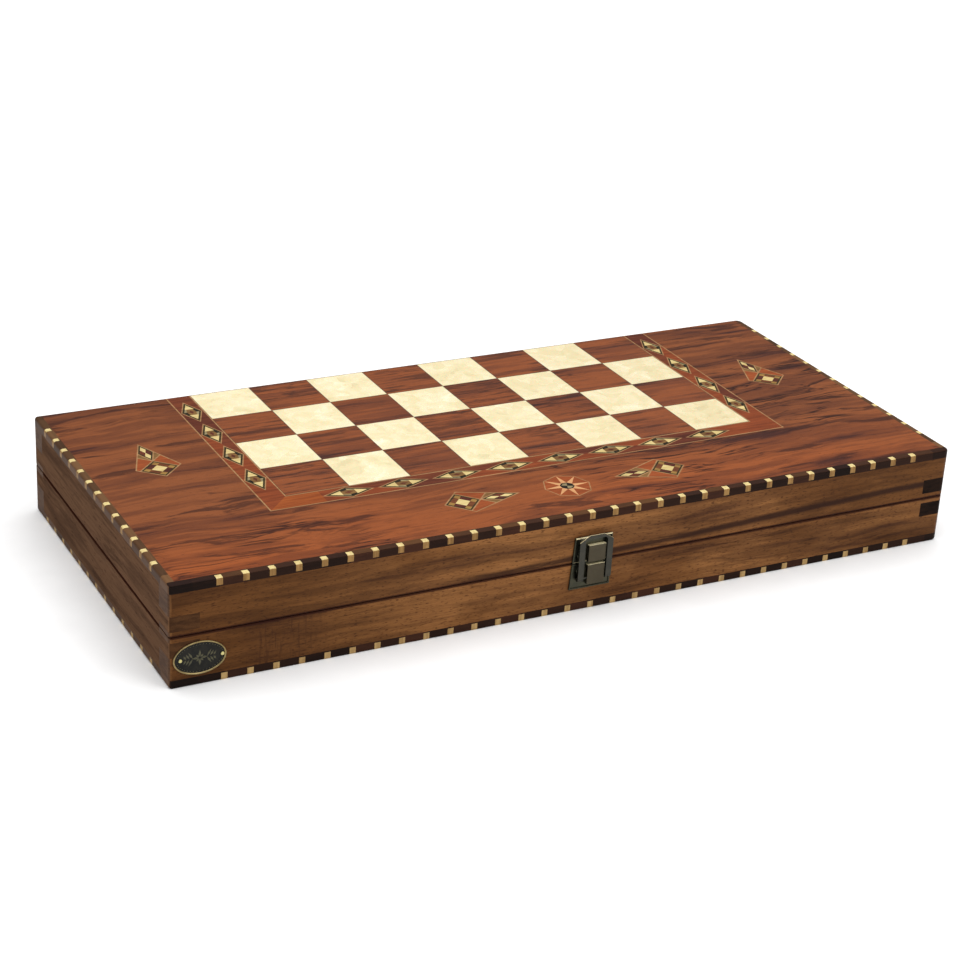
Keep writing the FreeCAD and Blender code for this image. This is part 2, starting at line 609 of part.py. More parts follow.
def make_latch():
    """Split base plate with a tongue on each half, and the swinging frame over both."""
    middle = f"{SHEET}latch_x"
    pin_y = (f"(-{HALF_DEEP} - {SHEET}latch_proud + {SHEET}latch_knuckle_radius"
             f" + {SHEET}knuckle_behind_face)")
    pin_z = f"{SHEET}latch_pin_level"
    pin_long = f"{SHEET}frame_wide"
    pin = rod("latch_pin_rod", (f"{middle} - {pin_long} / 2", pin_y, pin_z), "X",
              f"{SHEET}latch_pin_radius", pin_long)
    finish_node("latch_pin", pin)
    seam_faces = {"lower": HALF_TALL, "upper": f"{HALF_TALL} + {SHEET}seam_gap"}
    nails = {}
    for half, up in (("lower", "-1"), ("upper", "1")):
        seam_face = seam_faces[half]
        reach = f"({SHEET}plate_reach - {SHEET}seam_gap / 2)"
        low = seam_face if half == "upper" else f"{seam_face} - {reach}"
        plate = block(f"{half}_latch_sheet",
                      f"{middle} + {SHEET}plate_shift - {SHEET}plate_wide / 2",
                      f"-{HALF_DEEP} - {SHEET}plate_thick", low, f"{SHEET}plate_wide",
                      f"{SHEET}plate_thick", reach)
        tongue_low = f"{SHEET}tongue_low" if half == "lower" else seam_face
        tongue_high = seam_face if half == "lower" else f"{SHEET}tongue_high"
        tongue = block(f"{half}_latch_tongue",
                       f"{middle} + {SHEET}tongue_shift - {SHEET}tongue_wide / 2",
                       f"-{HALF_DEEP} - {SHEET}tongue_proud", tongue_low,
                       f"{SHEET}tongue_wide", f"{SHEET}tongue_proud",
                       f"{tongue_high} - ({tongue_low})")
        doc.recompute()
        soft = add("Part::Fillet", f"{half}_latch_soft_tongue")
        soft.Base = tongue
        front = tongue.Shape.BoundBox.YMin
        radius = size("tongue_radius")
        soft.Edges = [(index, radius, radius)
                      for index, edge in enumerate(tongue.Shape.Edges, start=1)
                      if edge.BoundBox.YMax < front + TOUCH]
        solid = fuse(f"{half}_latch_pressed", [plate, soft])
        level = f"{seam_face} + {up} * {SHEET}nail_from_seam"
        nails[half] = []
        for i in (-1, 1):
            nails[half].append(nail(f"{half}_latch_nail_{i + 1}",
                                    f"{middle} + {i} * {SHEET}nail_spread / 2", level))
        nail_group = group(f"{half}_latch_nail_pair", nails[half])
        pierced = cut(f"{half}_latch_pierced", solid, nail_group)
        if half == "lower":
            pierced = cut("lower_latch_bored", pierced, pin)
        label = "latch_base_plate" if half == "lower" else "latch_catch_plate"
        finish_node(label, pierced)
        finish_node(f"{half}_latch_nails", nail_group)

    frame_face = f"-{HALF_DEEP} - {SHEET}latch_proud"
    low, high = pin_z, f"{SHEET}frame_top"
    half_wide, chamfer = f"{SHEET}frame_wide / 2", f"{SHEET}frame_chamfer"
    shoulder = f"{high} - {SHEET}frame_chamfer_tall"
    window = f"{SHEET}window_wide / 2"
    bar = f"{high} - {SHEET}frame_bar"
    corners = [
        (f"{middle} - {half_wide}", low), (f"{middle} - {window}", low),
        (f"{middle} - {window}", bar), (f"{middle} + {window}", bar),
        (f"{middle} + {window}", low), (f"{middle} + {half_wide}", low),
        (f"{middle} + {half_wide}", shoulder),
        (f"{middle} + {half_wide} - {chamfer}", high),
        (f"{middle} - {half_wide} + {chamfer}", high),
        (f"{middle} - {half_wide}", shoulder),
    ]
    sheet_body = pad("latch_frame_sheet", "XZ_Plane", corners, f"{SHEET}frame_thick", True)
    sheet_body.setExpression("Placement.Base.y", frame_face)
    leg = f"({SHEET}frame_wide - {SHEET}window_wide) / 2"
    members, bores = [sheet_body], []
    for i, x in enumerate((f"{middle} - {half_wide}", f"{middle} + {window}")):
        members.append(rod(f"latch_knuckle_{i}", (x, pin_y, pin_z), "X",
                           f"{SHEET}latch_knuckle_radius", leg))
        bores.append(rod(f"latch_knuckle_bore_{i}", (x, pin_y, pin_z), "X",
                         f"{SHEET}latch_pin_radius + {SHEET}pin_clearance", leg))
    solid = fuse("latch_frame_solid", members)
    finish_node("latch_frame", cut("latch_frame_bored", solid,
                                   group("latch_frame_bores", bores)))
    return nails


# ---------------------------------------------------------------- nameplate

def oval(name, long, tall, depth, y):
    """An upright oval disc on the front wall, its back face at y."""
    body = add("PartDesign::Body", name)
    sketch = sketch_on(body, "XZ_Plane", name + "_outline")
    centre = Vector(size("plaque_x"), size("plaque_z"), 0)
    major, minor = evaluate(long) / 2, evaluate(tall) / 2
    ellipse = Part.Ellipse(centre + Vector(major, 0, 0), centre + Vector(0, minor, 0), centre)
    index = sketch.addGeometry(ellipse, False)
    sketch.exposeInternalGeometry(index)
    for kind, alias in (("DistanceX", "plaque_x"), ("DistanceY", "plaque_z")):
        held = sketch.addConstraint(Sketcher.Constraint(kind, -1, 1, index, 3, size(alias)))
        sketch.setExpression(f"Constraints[{held}]", SHEET + alias)
    for line, expression in ((index + 1, long), (index + 2, tall)):
        held = sketch.addConstraint(Sketcher.Constraint("Distance", line, evaluate(expression)))
        sketch.setExpression(f"Constraints[{held}]", expression)
    sketch.addConstraint(Sketcher.Constraint("Horizontal", index + 1))
    feature = body.newObject("PartDesign::Pad", name + "_pad")
    feature.Profile = sketch
    feature.setExpression("Length", depth)
    body.Tip = feature
    body.setExpression("Placement.Base.y", y)
    return body


def make_nameplate():
    long, tall = f"{SHEET}plaque_long", f"{SHEET}plaque_tall"
    rim, sunk = f"{SHEET}plaque_rim", f"{SHEET}plaque_sunk"
    disc = oval("plaque_disc", long, tall, f"{SHEET}plaque_thick", f"-{HALF_DEEP}")
    recess = oval("plaque_recess", f"{long} - 2 * {rim}", f"{tall} - 2 * {rim}", sunk,
                  f"-{HALF_DEEP} - {SHEET}plaque_thick + {sunk}")
    pins = []
    for i in (-1, 1):
        x = (f"{SHEET}plaque_x + {SHEET}plaque_pin_shift"
             f" + {i} * {SHEET}plaque_pin_spread / 2")
        pins.append(rod(f"plaque_pin_{i + 1}",
                        (x, f"-{HALF_DEEP} - {SHEET}plaque_thick + {sunk}"
                            f" - {SHEET}plaque_pin_proud", f"{SHEET}plaque_z"), "Y",
                        f"{SHEET}plaque_pin_radius", f"{SHEET}nail_long"))
    pin_group = group("plaque_pin_pair", pins)
    dished = cut("plaque_dished", disc, recess)
    finish_node("nameplate", cut("plaque_pierced", dished, pin_group))
    finish_node("nameplate_pins", pin_group)
    return pins


# ---------------------------------------------------------------- checkers and dice

FIELD_TOP = f"({WALL_BASE} + {SHEET}field_thick)"


def turned_checker(name, x, y):
    """A turned disc: dished faces inside a rim, with a raised ring in each dish."""
    body = add("PartDesign::Body", name)
    sketch = sketch_on(body, "XZ_Plane", name + "_profile")
    radius, thick = f"{SHEET}checker_radius", f"{SHEET}checker_thick"
    rim, dish, edge = f"{SHEET}checker_rim", f"{SHEET}checker_dish", f"{SHEET}checker_edge"
    ring_in, ring_out = f"{SHEET}ring_inner_radius", f"{SHEET}ring_outer_radius"
    slant, lift = f"{SHEET}ring_slope", f"{SHEET}ring_lift"
    inner = f"{radius} - {rim}"
    dish_edge = f"{inner} - {SHEET}dish_slope"
    hub = "0"
    corners = [
        (hub, dish), (ring_in, dish), (f"{ring_in} + {slant}", f"{dish} - {lift}"),
        (f"{ring_out} - {slant}", f"{dish} - {lift}"), (ring_out, dish), (dish_edge, dish),
        (inner, "0"), (f"{radius} - {edge}", "0"), (radius, edge),
        (radius, f"{thick} - {edge}"), (f"{radius} - {edge}", thick), (inner, thick),
        (dish_edge, f"{thick} - {dish}"), (ring_out, f"{thick} - {dish}"),
        (f"{ring_out} - {slant}", f"{thick} - {dish} + {lift}"),
        (f"{ring_in} + {slant}", f"{thick} - {dish} + {lift}"),
        (ring_in, f"{thick} - {dish}"), (hub, f"{thick} - {dish}"),
    ]
    draw(sketch, corners)
    turned = body.newObject("PartDesign::Revolution", name + "_turned")
    turned.Profile = sketch
    turned.ReferenceAxis = (sketch, ["V_Axis"])
    turned.Angle = 360
    body.Tip = turned
    return bind(body, base_x=x, base_y=y, base_z=FIELD_TOP)


def make_checkers():
    """Fifteen light checkers on three left-hand points, fifteen dark on the right."""
    pitch = f"({SHEET}case_depth - 2 * {SHEET}long_wall) / {LANES}"
    first = f"({HALF_LONG} - {SHEET}side_wall - {SHEET}checker_margin - {SHEET}checker_radius)"
    for tone, direction, lanes in (("light", "-1", (1, 3, 5)), ("dark", "1", (0, 2, 4))):
        for place, lane in zip(("front", "middle", "back"), lanes):
            y = f"({lane} - ({LANES} - 1) / 2) * {pitch}"
            pieces = []
            for i in range(CHECKERS_IN_ROW):
                x = f"{direction} * ({first} - {i} * {SHEET}checker_pitch)"
                pieces.append(turned_checker(f"{tone}_{place}_checker_{i}", x, y))
            name = f"{tone}_checkers_{place}"
            finish_node(name, group(name + "_row", pieces))


PIP_SPOTS = {
    1: [(0, 0)],
    2: [(-1, -1), (1, 1)],
    3: [(-1, -1), (0, 0), (1, 1)],
    4: [(-1, -1), (-1, 1), (1, -1), (1, 1)],
    5: [(-1, -1), (-1, 1), (0, 0), (1, -1), (1, 1)],
    6: [(-1, -1), (-1, 0), (-1, 1), (1, -1), (1, 0), (1, 1)],
}


def pip_centre(face, u, v):
    """Offset of a pip's ball from the die's centre; opposite faces add up to seven."""
    out, step = "({0}die_size / 2 + {0}pip_sink)".format(SHEET), f"{SHEET}pip_pitch"
    along = {1: "z", 6: "-z", 2: "y", 5: "-y", 3: "x", 4: "-x"}[face]
    sign = "-" if along.startswith("-") else ""
    a, b = f"{u} * {step}", f"{v} * {step}"
    outward = f"{sign}{out}"
    return {"x": (outward, a, b), "y": (a, outward, b), "z": (a, b, outward)}[along[-1]]


def make_die(name, x, y):
    side = f"{SHEET}die_size"
    cube = block(name + "_cube", f"{x} - {side} / 2", f"{y} - {side} / 2", FIELD_TOP,
                 side, side, side)
    doc.recompute()
    soft = add("Part::Fillet", name + "_soft_cube")
    soft.Base = cube
    soft.Edges = [(index, size("die_radius"), size("die_radius")) for index in range(1, 13)]
    pips = []
    middle_z = f"({FIELD_TOP} + {side} / 2)"
    for face, spots in PIP_SPOTS.items():
        for i, (u, v) in enumerate(spots):
            dx, dy, dz = pip_centre(face, u, v)
            pip = add("Part::Sphere", f"{name}_pip_{face}_{i}")
            bind(pip, Radius=f"{SHEET}pip_radius", base_x=f"{x} + {dx}", base_y=f"{y} + {dy}",
                 base_z=f"{middle_z} + {dz}")
            pips.append(pip)
    finish_node(name, cut(name + "_pipped", soft, group(name + "_pips", pips)))


# ---------------------------------------------------------------- building it all

mortises = make_hinges()
latch_nails = make_latch()
plaque_pins = make_nameplate()
cutters = {
    "lower": {"front": latch_nails["lower"] + plaque_pins, "back": mortises["lower"]},
    "upper": {"front": latch_nails["upper"], "back": mortises["upper"]},
}

for half, place in PLACES.items():
    envelope = rounded_half(half)
    wall_cutters = dict(cutters[half])
    if half == "upper":
        # hardware is placed in the closed case, so it is turned into the half's own frame
        for side, tools in wall_cutters.items():
            turned = group(f"upper_{side}_hardware", tools)
            turned.Placement = TURNED_OVER.inverse()
            wall_cutters[side] = [turned]
    make_walls(half, envelope, place, wall_cutters)
    make_panel(half, envelope, place)
    make_banding(half, envelope, place)
    make_outer_marquetry(half, envelope, place)
    make_playing_field(half, place)

make_checkers()
make_die("left_die", f"-{SHEET}die_spread / 2", f"{SHEET}die_line")
make_die("right_die", f"{SHEET}die_spread / 2", f"{SHEET}die_line + {SHEET}die_stagger")
doc.recompute()

# ---------------------------------------------------------------- checks and export

for obj in doc.Objects:
    faults = [state for state in obj.State if state in ("Invalid", "Error")]
    if faults:
        raise RuntimeError(f"{obj.Name} failed: {faults}")

for label, obj in nodes.items():
    shape = obj.Shape
    if shape.isNull() or not shape.isValid() or not shape.Solids:
        raise RuntimeError(f"{label} has no valid solid")
    if shape.Volume <= 0:
        raise RuntimeError(f"{label} has no volume")

os.makedirs("parts", exist_ok=True)
for label, obj in nodes.items():
    obj.Shape.exportStep(os.path.join("parts", f"{label}.step"))
    print(f"{label}: {len(obj.Shape.Solids)} solids, {obj.Shape.Volume:.1f} mm3")
print(f"{len(nodes)} nodes")
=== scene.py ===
import math
import random

import bmesh
import bpy
from mathutils import Matrix, Vector


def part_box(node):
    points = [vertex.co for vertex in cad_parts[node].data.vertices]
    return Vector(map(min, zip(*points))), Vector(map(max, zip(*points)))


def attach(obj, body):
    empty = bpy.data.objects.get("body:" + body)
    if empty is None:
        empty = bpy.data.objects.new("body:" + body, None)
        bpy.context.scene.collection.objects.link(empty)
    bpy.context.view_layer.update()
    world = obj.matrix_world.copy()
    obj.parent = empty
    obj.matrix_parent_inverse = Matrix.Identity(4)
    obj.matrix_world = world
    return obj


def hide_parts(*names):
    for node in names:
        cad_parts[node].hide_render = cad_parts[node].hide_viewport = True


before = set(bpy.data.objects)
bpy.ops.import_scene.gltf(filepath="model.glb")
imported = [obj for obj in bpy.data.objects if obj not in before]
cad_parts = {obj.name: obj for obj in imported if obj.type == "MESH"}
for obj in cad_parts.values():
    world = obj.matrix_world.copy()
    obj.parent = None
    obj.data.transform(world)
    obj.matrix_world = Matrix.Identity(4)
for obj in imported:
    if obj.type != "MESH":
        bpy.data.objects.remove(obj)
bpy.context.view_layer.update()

MM = 0.001
rng = random.Random(7)

# Folding backgammon case: inlaid outer faces, stained walls, metal latch and hinges.
# Sizes in metres, in the frame of the CAD model; places come from the CAD nodes' boxes.


# ---- sizes from the frame

def node_box(name):
    low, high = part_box(name)
    return Vector(low), Vector(high)


HALVES = ("lower", "upper")
outer_low, outer_high = node_box("upper_front_banding")
CASE_TOP = outer_high.z
CASE_HALF_LONG = outer_high.x
CASE_FRONT = outer_low.y
CASE_BACK = node_box("upper_back_wall")[1].y
SEAM_LOW = node_box("lower_front_wall")[1].z
SEAM_HIGH = node_box("upper_front_wall")[0].z
SEAM = (SEAM_LOW + SEAM_HIGH) / 2
squares_low = Vector(map(min, node_box("upper_light_squares")[0],
                         node_box("upper_dark_squares")[0]))
squares_high = Vector(map(max, node_box("upper_light_squares")[1],
                          node_box("upper_dark_squares")[1]))
SQUARE = (squares_high.y - squares_low.y) / 4
BOARD_X = (squares_low.x + squares_high.x) / 2
BAND = squares_low.y - node_box("upper_border_band")[0].y
VENEER = squares_high.z - squares_low.z
FIELD_LOW, FIELD_HIGH = (corner.z for corner in node_box("lower_field_veneer"))


# ---- shader node helpers

class Graph:
    """Short calls for building one material's nodes."""

    def __init__(self, name):
        self.material = bpy.data.materials.new(name)
        self.material.use_nodes = True
        self.tree = self.material.node_tree
        self.shader = self.tree.nodes["Principled BSDF"]
        self.position = self.node("ShaderNodeTexCoord").outputs["Object"]

    def node(self, kind, **settings):
        made = self.tree.nodes.new(kind)
        for key, value in settings.items():
            setattr(made, key, value)
        return made

    def put(self, socket, value):
        if isinstance(value, bpy.types.NodeSocket):
            self.tree.links.new(value, socket)
        elif isinstance(value, (tuple, list, Vector)) and socket.type == "RGBA":
            socket.default_value = (*value[:3], 1.0)
        else:
            socket.default_value = value

    def fed(self, kind, values, **settings):
        """A new node with values put into its inputs, given by name or number."""
        made = self.node(kind, **settings)
        for key, value in values.items():
            self.put(made.inputs[key], value)
        return made

    def math(self, operation, a, b=0.0):
        return self.fed("ShaderNodeMath", {0: a, 1: b}, operation=operation).outputs[0]

    def add(self, a, b):
        return self.math("ADD", a, b)

    def sub(self, a, b):
        return self.math("SUBTRACT", a, b)

    def mul(self, a, b):
        return self.math("MULTIPLY", a, b)

    def vector(self, operation, a, b=(0, 0, 0)):
        return self.fed("ShaderNodeVectorMath", {0: a, 1: b}, operation=operation).outputs[0]

    def stretch(self, vector, scale):
        return self.fed("ShaderNodeMapping", {"Vector": vector, "Scale": scale}).outputs[0]

    def noise(self, vector, scale=1.0, detail=2.0, roughness=0.5, distortion=0.0):
        made = self.fed("ShaderNodeTexNoise", {"Vector": vector, "Scale": scale, "Detail": detail,
                                               "Roughness": roughness, "Distortion": distortion})
        return made.outputs["Fac"], made.outputs["Color"]

    def sway(self, place, scale, detail, roughness, reach):
        """An offset that wanders from place to place, by up to half of reach each way."""
        _, wander = self.noise(place, scale, detail, roughness)
        return self.vector("MULTIPLY", self.vector("SUBTRACT", wander, (0.5,) * 3), (reach,) * 3)

    def voronoi(self, vector, scale):
        return self.fed("ShaderNodeTexVoronoi", {"Vector": vector, "Scale": scale}).outputs

    def white(self, vector):
        made = self.fed("ShaderNodeTexWhiteNoise", {"Vector": vector})
        return made.outputs["Value"], made.outputs["Color"]

    def ramp(self, factor, stops):
        made = self.node("ShaderNodeValToRGB")
        made.color_ramp.interpolation = "EASE"
        elements = made.color_ramp.elements
        while len(elements) < len(stops):
            elements.new(0.5)
        for element, (at, colour) in zip(elements, stops):
            element.position = at
            element.color = (*colour[:3], 1.0)
        self.put(made.inputs[0], factor)
        return made.outputs[0]

    def step(self, value, low, high):
        """0 below low, 1 above high, smooth between."""
        return self.fed("ShaderNodeMapRange", {"Value": value, "From Min": low, "From Max": high},
                        interpolation_type="SMOOTHSTEP").outputs[0]

    def fall(self, value, low, high):
        """1 below low, 0 above high, smooth between."""
        return self.sub(1.0, self.step(value, low, high))

    def mix(self, factor, a, b, blend="MIX"):
        made = self.fed("ShaderNodeMix", {"Factor": factor, 6: a, 7: b}, data_type="RGBA",
                        blend_type=blend)
        return made.outputs[2]

    def tint(self, colour, by):
        """A colour multiplied by another colour, or by one value in all its channels."""
        if isinstance(by, bpy.types.NodeSocket):
            by = self.join(by, by, by)
        return self.mix(1.0, colour, by, "MULTIPLY")

    def split(self, vector):
        return self.fed("ShaderNodeSeparateXYZ", {0: vector}).outputs

    def join(self, x, y, z):
        return self.fed("ShaderNodeCombineXYZ", {0: x, 1: y, 2: z}).outputs[0]

    def bump(self, height, strength, distance):
        return self.fed("ShaderNodeBump", {"Height": height, "Strength": strength,
                                           "Distance": distance}).outputs[0]

    def finish(self, colour, roughness, normal=None, **constants):
        self.put(self.shader.inputs["Base Color"], colour)
        self.put(self.shader.inputs["Roughness"], roughness)
        if normal is not None:
            self.put(self.shader.inputs["Normal"], normal)
        for key, value in constants.items():
            self.put(self.shader.inputs[key.replace("_", " ")], value)
        return self.material


def srgb(red, green, blue):
    """A colour given as 0 to 255 screen values, as linear light."""
    def linear(value):
        value /= 255
        return value / 12.92 if value <= 0.04045 else ((value + 0.055) / 1.055) ** 2.4
    return tuple(linear(value) for value in (red, green, blue))


# ---- wood

GRAIN = {"X": (1.0, 14.0, 14.0), "Y": (14.0, 1.0, 14.0), "Z": (14.0, 14.0, 1.0)}
GLUE_HALF_WIDE, GLUE_TONE = 0.34 * MM, srgb(66, 38, 24)
# pairs of distances between which a mark fades in or out
CORNER_PALE = 0.2 * MM, 1.1 * MM
# the seam's spans give the height and depth of the painted shade along the seam
SEAM_EDGE_TALL, SEAM_EDGE_DEEP = (0.55 * MM, 1.15 * MM), (0.6 * MM, 2.0 * MM)
LEFT_STAIN, RIGHT_STAIN = (60 * MM, 210 * MM), (90 * MM, 225 * MM)
VEIN_HALF, VEIN_START = (0.7 * MM, 3.0 * MM), (-110 * MM, -60 * MM)
SCRATCH_START, SCRATCH_END = (-214 * MM, -196 * MM), (-180 * MM, -150 * MM)
PEARL_DIM = -60 * MM, 190 * MM
# the seam's colour is painted shade in the gap between the halves
SEAM_SHADE_TONE, VEIN_TONE = srgb(44, 17, 10), srgb(40, 21, 15)
SCRATCH_TONE, FLECK_TONE = srgb(62, 36, 22), srgb(50, 26, 15)


def square_chance(g):
    """A chance value and colour for each square of the board."""
    from_corner = g.vector("SUBTRACT", g.position, (BOARD_X, squares_low.y, -1))
    return g.white(g.vector("FLOOR", g.vector("DIVIDE", from_corner, (SQUARE, SQUARE, 5))))


def wood(name, light, middle, dark, grain="X", seed=0.0, figure=5.0, wave=0.010, streaks=0.5,
         fibre=0.25, pores=0.35, gloss=0.36, coat=0.02, shine=0.15, bold=0.0, extra=None,
         per_square=False):
    """Lacquered wood: wavy figure along the grain, fine fibres, pores and a soft bump."""
    g = Graph(name)
    place = g.vector("ADD", g.position, (seed * 0.371, seed * 0.173, seed * 0.291))
    if per_square:
        place = g.vector("ADD", place, g.vector("MULTIPLY", square_chance(g)[1], (3, 3, 3)))
    bent = g.vector("ADD", place, g.sway(place, 9.0, 2.0, 0.5, wave))
    bent = g.vector("ADD", bent, g.sway(place, 38.0, 2.0, 0.5, wave * 0.18))
    along = g.stretch(bent, GRAIN[grain])
    broad, _ = g.noise(along, figure, 4.0, 0.55, 0.35)
    narrow, _ = g.noise(along, figure * 3.7, 3.0, 0.6, 0.2)
    mixed = g.add(g.mul(broad, 0.68), g.mul(narrow, 0.32))
    colour = g.ramp(mixed, [(0.34, dark), (0.45, middle), (0.56, light), (0.70, middle)])
    vein, _ = g.noise(along, figure * 1.9, 3.0, 0.55, 0.6)
    line = g.math("ABSOLUTE", g.sub(vein, 0.5))
    line = g.fall(line, 0.0, 0.035)
    patch = g.step(g.noise(place, 14.0, 1.0)[0], 0.46, 0.62)
    line = g.mul(g.mul(line, patch), streaks)
    colour = g.mix(line, colour, tuple(value * 0.45 for value in dark))
    if bold:
        ring, _ = g.noise(g.stretch(bent, tuple(0.4 + 0.6 * s for s in GRAIN[grain])),
                          figure * 2.4, 6.0, 0.6, 0.25)
        heavy = g.mul(g.step(ring, 0.56, 0.62), bold)
        colour = g.mix(heavy, colour, tuple(value * 0.62 for value in dark))
    fine, _ = g.noise(g.stretch(bent, GRAIN[grain]), 75.0, 3.0, 0.7)
    shade = g.mul(g.sub(fine, 0.5), fibre * 2)
    value = g.add(shade, 1.0)
    colour = g.tint(colour, value)
    pore, _ = g.noise(g.stretch(place, tuple(0.5 + 0.5 * s for s in GRAIN[grain])), 210.0, 1.0,
                      0.4)
    pore = g.step(pore, 0.66, 0.74)
    colour = g.mix(g.mul(pore, pores), colour, tuple(value * 0.4 for value in dark))
    if extra is not None:
        colour = extra(g, colour)
    height = g.sub(g.mul(fine, 0.6), g.mul(pore, 0.5))
    rough = g.add(gloss, g.mul(g.sub(fine, 0.5), 0.25))
    rough = g.add(rough, g.mul(pore, 0.12))
    return g.finish(colour, rough, g.bump(height, 0.22, 0.00025), Coat_Weight=coat,
                    Coat_Roughness=0.22, Specular_IOR_Level=shine)


def joint_line(g, colour):
    """The thin dark glue line round each square of the board."""
    spot = g.vector("DIVIDE", g.vector("SUBTRACT", g.position, (BOARD_X, squares_low.y, 0)),
                    (SQUARE, SQUARE, 1))
    x, y, _ = g.split(g.vector("FRACTION", spot))
    reach = GLUE_HALF_WIDE / SQUARE
    edges = []
    for side in (x, y):
        near = g.math("ABSOLUTE", g.sub(side, 0.5))
        edges.append(g.step(near, 0.5 - reach * 1.3, 0.5 - reach * 0.5))
    edge = g.math("MAXIMUM", edges[0], edges[1])
    return g.mix(g.mul(edge, 0.8), colour, GLUE_TONE)


def pale_corners_and_seam_shade(colour_at_edge):
    """Paler tone along the case's upright corners, and painted shade darkening the rims along the
    seam between the two halves.
    """
    def apply(g, colour):
        x, y, z = g.split(g.position)
        corner_and_seam, _ = g.noise(g.position, 160.0, 3.0, 0.6)
        reach = g.mul(corner_and_seam, 1.6 * MM)
        from_end = g.sub(CASE_HALF_LONG, g.math("ABSOLUTE", x))
        from_front = g.sub(y, CASE_FRONT)
        from_back = g.sub(CASE_BACK, y)
        from_side = g.math("MINIMUM", from_front, from_back)
        corner = g.add(from_end, from_side)
        near = g.fall(g.sub(corner, reach), *CORNER_PALE)
        paler = g.mix(g.mul(near, 0.4), colour, colour_at_edge)
        # painted shade: the rims darken along the seam, in the gap between the halves
        rim = g.math("ABSOLUTE", g.sub(z, SEAM))
        rim = g.fall(g.sub(rim, g.mul(reach, 0.3)), *SEAM_EDGE_TALL)
        depth = g.math("MINIMUM", from_end, from_side)
        rim = g.mul(rim, g.fall(depth, *SEAM_EDGE_DEEP))
        return g.mix(g.mul(rim, 0.88), paler, SEAM_SHADE_TONE)
    return apply


def wall_stain(upper):
    """Patchy stain: a dark vein in the upper walls, fine scratches in the lower ones."""
    corner_and_seam = pale_corners_and_seam_shade(srgb(146, 100, 60))

    def apply(g, colour):
        patch, _ = g.noise(g.stretch(g.position, (1.0, 3.0, 3.0)), 11.0, 3.0, 0.6)
        dark = g.tint(colour, (0.62, 0.58, 0.54))
        colour = g.mix(g.step(patch, 0.44, 0.66), colour, dark)
        x, _, z = g.split(g.position)
        left_end = g.step(g.mul(x, -1.0), *LEFT_STAIN)
        right_end = g.step(x, *RIGHT_STAIN)
        if not upper:
            right_end = g.mul(right_end, 0.4)
        deep = g.tint(colour, (0.48, 0.44, 0.38))
        colour = g.mix(g.math("MAXIMUM", left_end, right_end), colour, deep)
        if upper:
            drift, _ = g.noise(g.stretch(g.position, (1.0, 1.0, 0.0)), 14.0, 3.0, 0.55)
            level = g.add(SEAM_HIGH + 1.2 * MM, g.mul(drift, 5 * MM))
            level = g.add(level, g.mul(x, 0.026))
            off = g.math("ABSOLUTE", g.sub(z, level))
            vein = g.fall(off, *VEIN_HALF)
            ragged, _ = g.noise(g.stretch(g.position, GRAIN["X"]), 24.0, 4.0, 0.65)
            vein = g.mul(vein, g.step(ragged, 0.22, 0.46))
            vein = g.mul(vein, g.step(x, *VEIN_START))
            colour = g.mix(g.mul(vein, 0.85), colour, VEIN_TONE)
        else:
            upright, _ = g.noise(g.stretch(g.position, (1.0, 1.0, 0.12)), 620.0, 3.0, 0.6)
            level, _ = g.noise(g.stretch(g.position, (0.12, 1.0, 1.0)), 620.0, 3.0, 0.6)
            rubbed = g.sub(g.step(x, *SCRATCH_START), g.step(x, *SCRATCH_END))
            marks = g.math("MAXIMUM", g.step(upright, 0.5, 0.66), g.step(level, 0.5, 0.66))
            marks = g.add(0.24, g.mul(marks, 0.42))
            colour = g.mix(g.mul(rubbed, marks), colour, SCRATCH_TONE)
        fleck, _ = g.noise(g.stretch(g.position, (1.0, 5.0, 5.0)), 330.0, 1.0, 0.5)
        colour = g.mix(g.mul(g.step(fleck, 0.60, 0.68), 0.6), colour, FLECK_TONE)
        # paler corners, then painted shade along the seam
        return corner_and_seam(g, colour)
    return apply


def veneer_drift_and_sheen(g, colour):
    """Slow change of tone over a sheet, partly random drift and partly painted sheen: warmer in
    front and to the left, browner and hazier behind, where the lacquer's haze is painted in.
    """
    x, y, _ = g.split(g.position)
    drift, _ = g.noise(g.stretch(g.position, (0.6, 1.4, 1.0)), 5.0, 2.0, 0.5)
    warm = g.sub(g.mul(g.add(y, CASE_FRONT), -3.2), g.mul(x, 0.5))
    warm = g.step(g.add(g.sub(warm, 0.9), drift), 0.0, 0.9)
    # painted sheen: the cooler tint stands in for the lacquer's haze behind and to the right
    hazed = g.tint(colour, (0.80, 0.90, 1.10))
    rich = g.tint(colour, (1.30, 1.08, 0.78))
    return g.mix(warm, hazed, rich)


def banding(name, axis, pitch, start, tones, low_shift=0.0):
    """Edge strip: each length between two light blocks has its own tone."""
    g = Graph(name)
    parts = g.split(g.position)
    along = parts["XYZ".index(axis)]
    shift = g.mul(g.math("LESS_THAN", parts[2], SEAM), low_shift)
    from_start = g.sub(g.sub(along, start), shift)
    cell = g.math("FLOOR", g.math("DIVIDE", from_start, pitch))
    tone, _ = g.white(g.join(cell, g.math("SIGN", parts[2]), 0.0))
    fine, _ = g.noise(g.stretch(g.position, GRAIN[axis]), 60.0, 4.0, 0.65, 0.3)
    light, middle, dark = tones
    mixed = g.add(g.mul(tone, 0.62), g.mul(fine, 0.38))
    colour = g.ramp(mixed, [(0.18, dark), (0.46, middle), (0.78, light)])
    rough = g.add(0.42, g.mul(fine, 0.14))
    return g.finish(colour, rough, g.bump(fine, 0.2, 0.0002), Specular_IOR_Level=0.04)


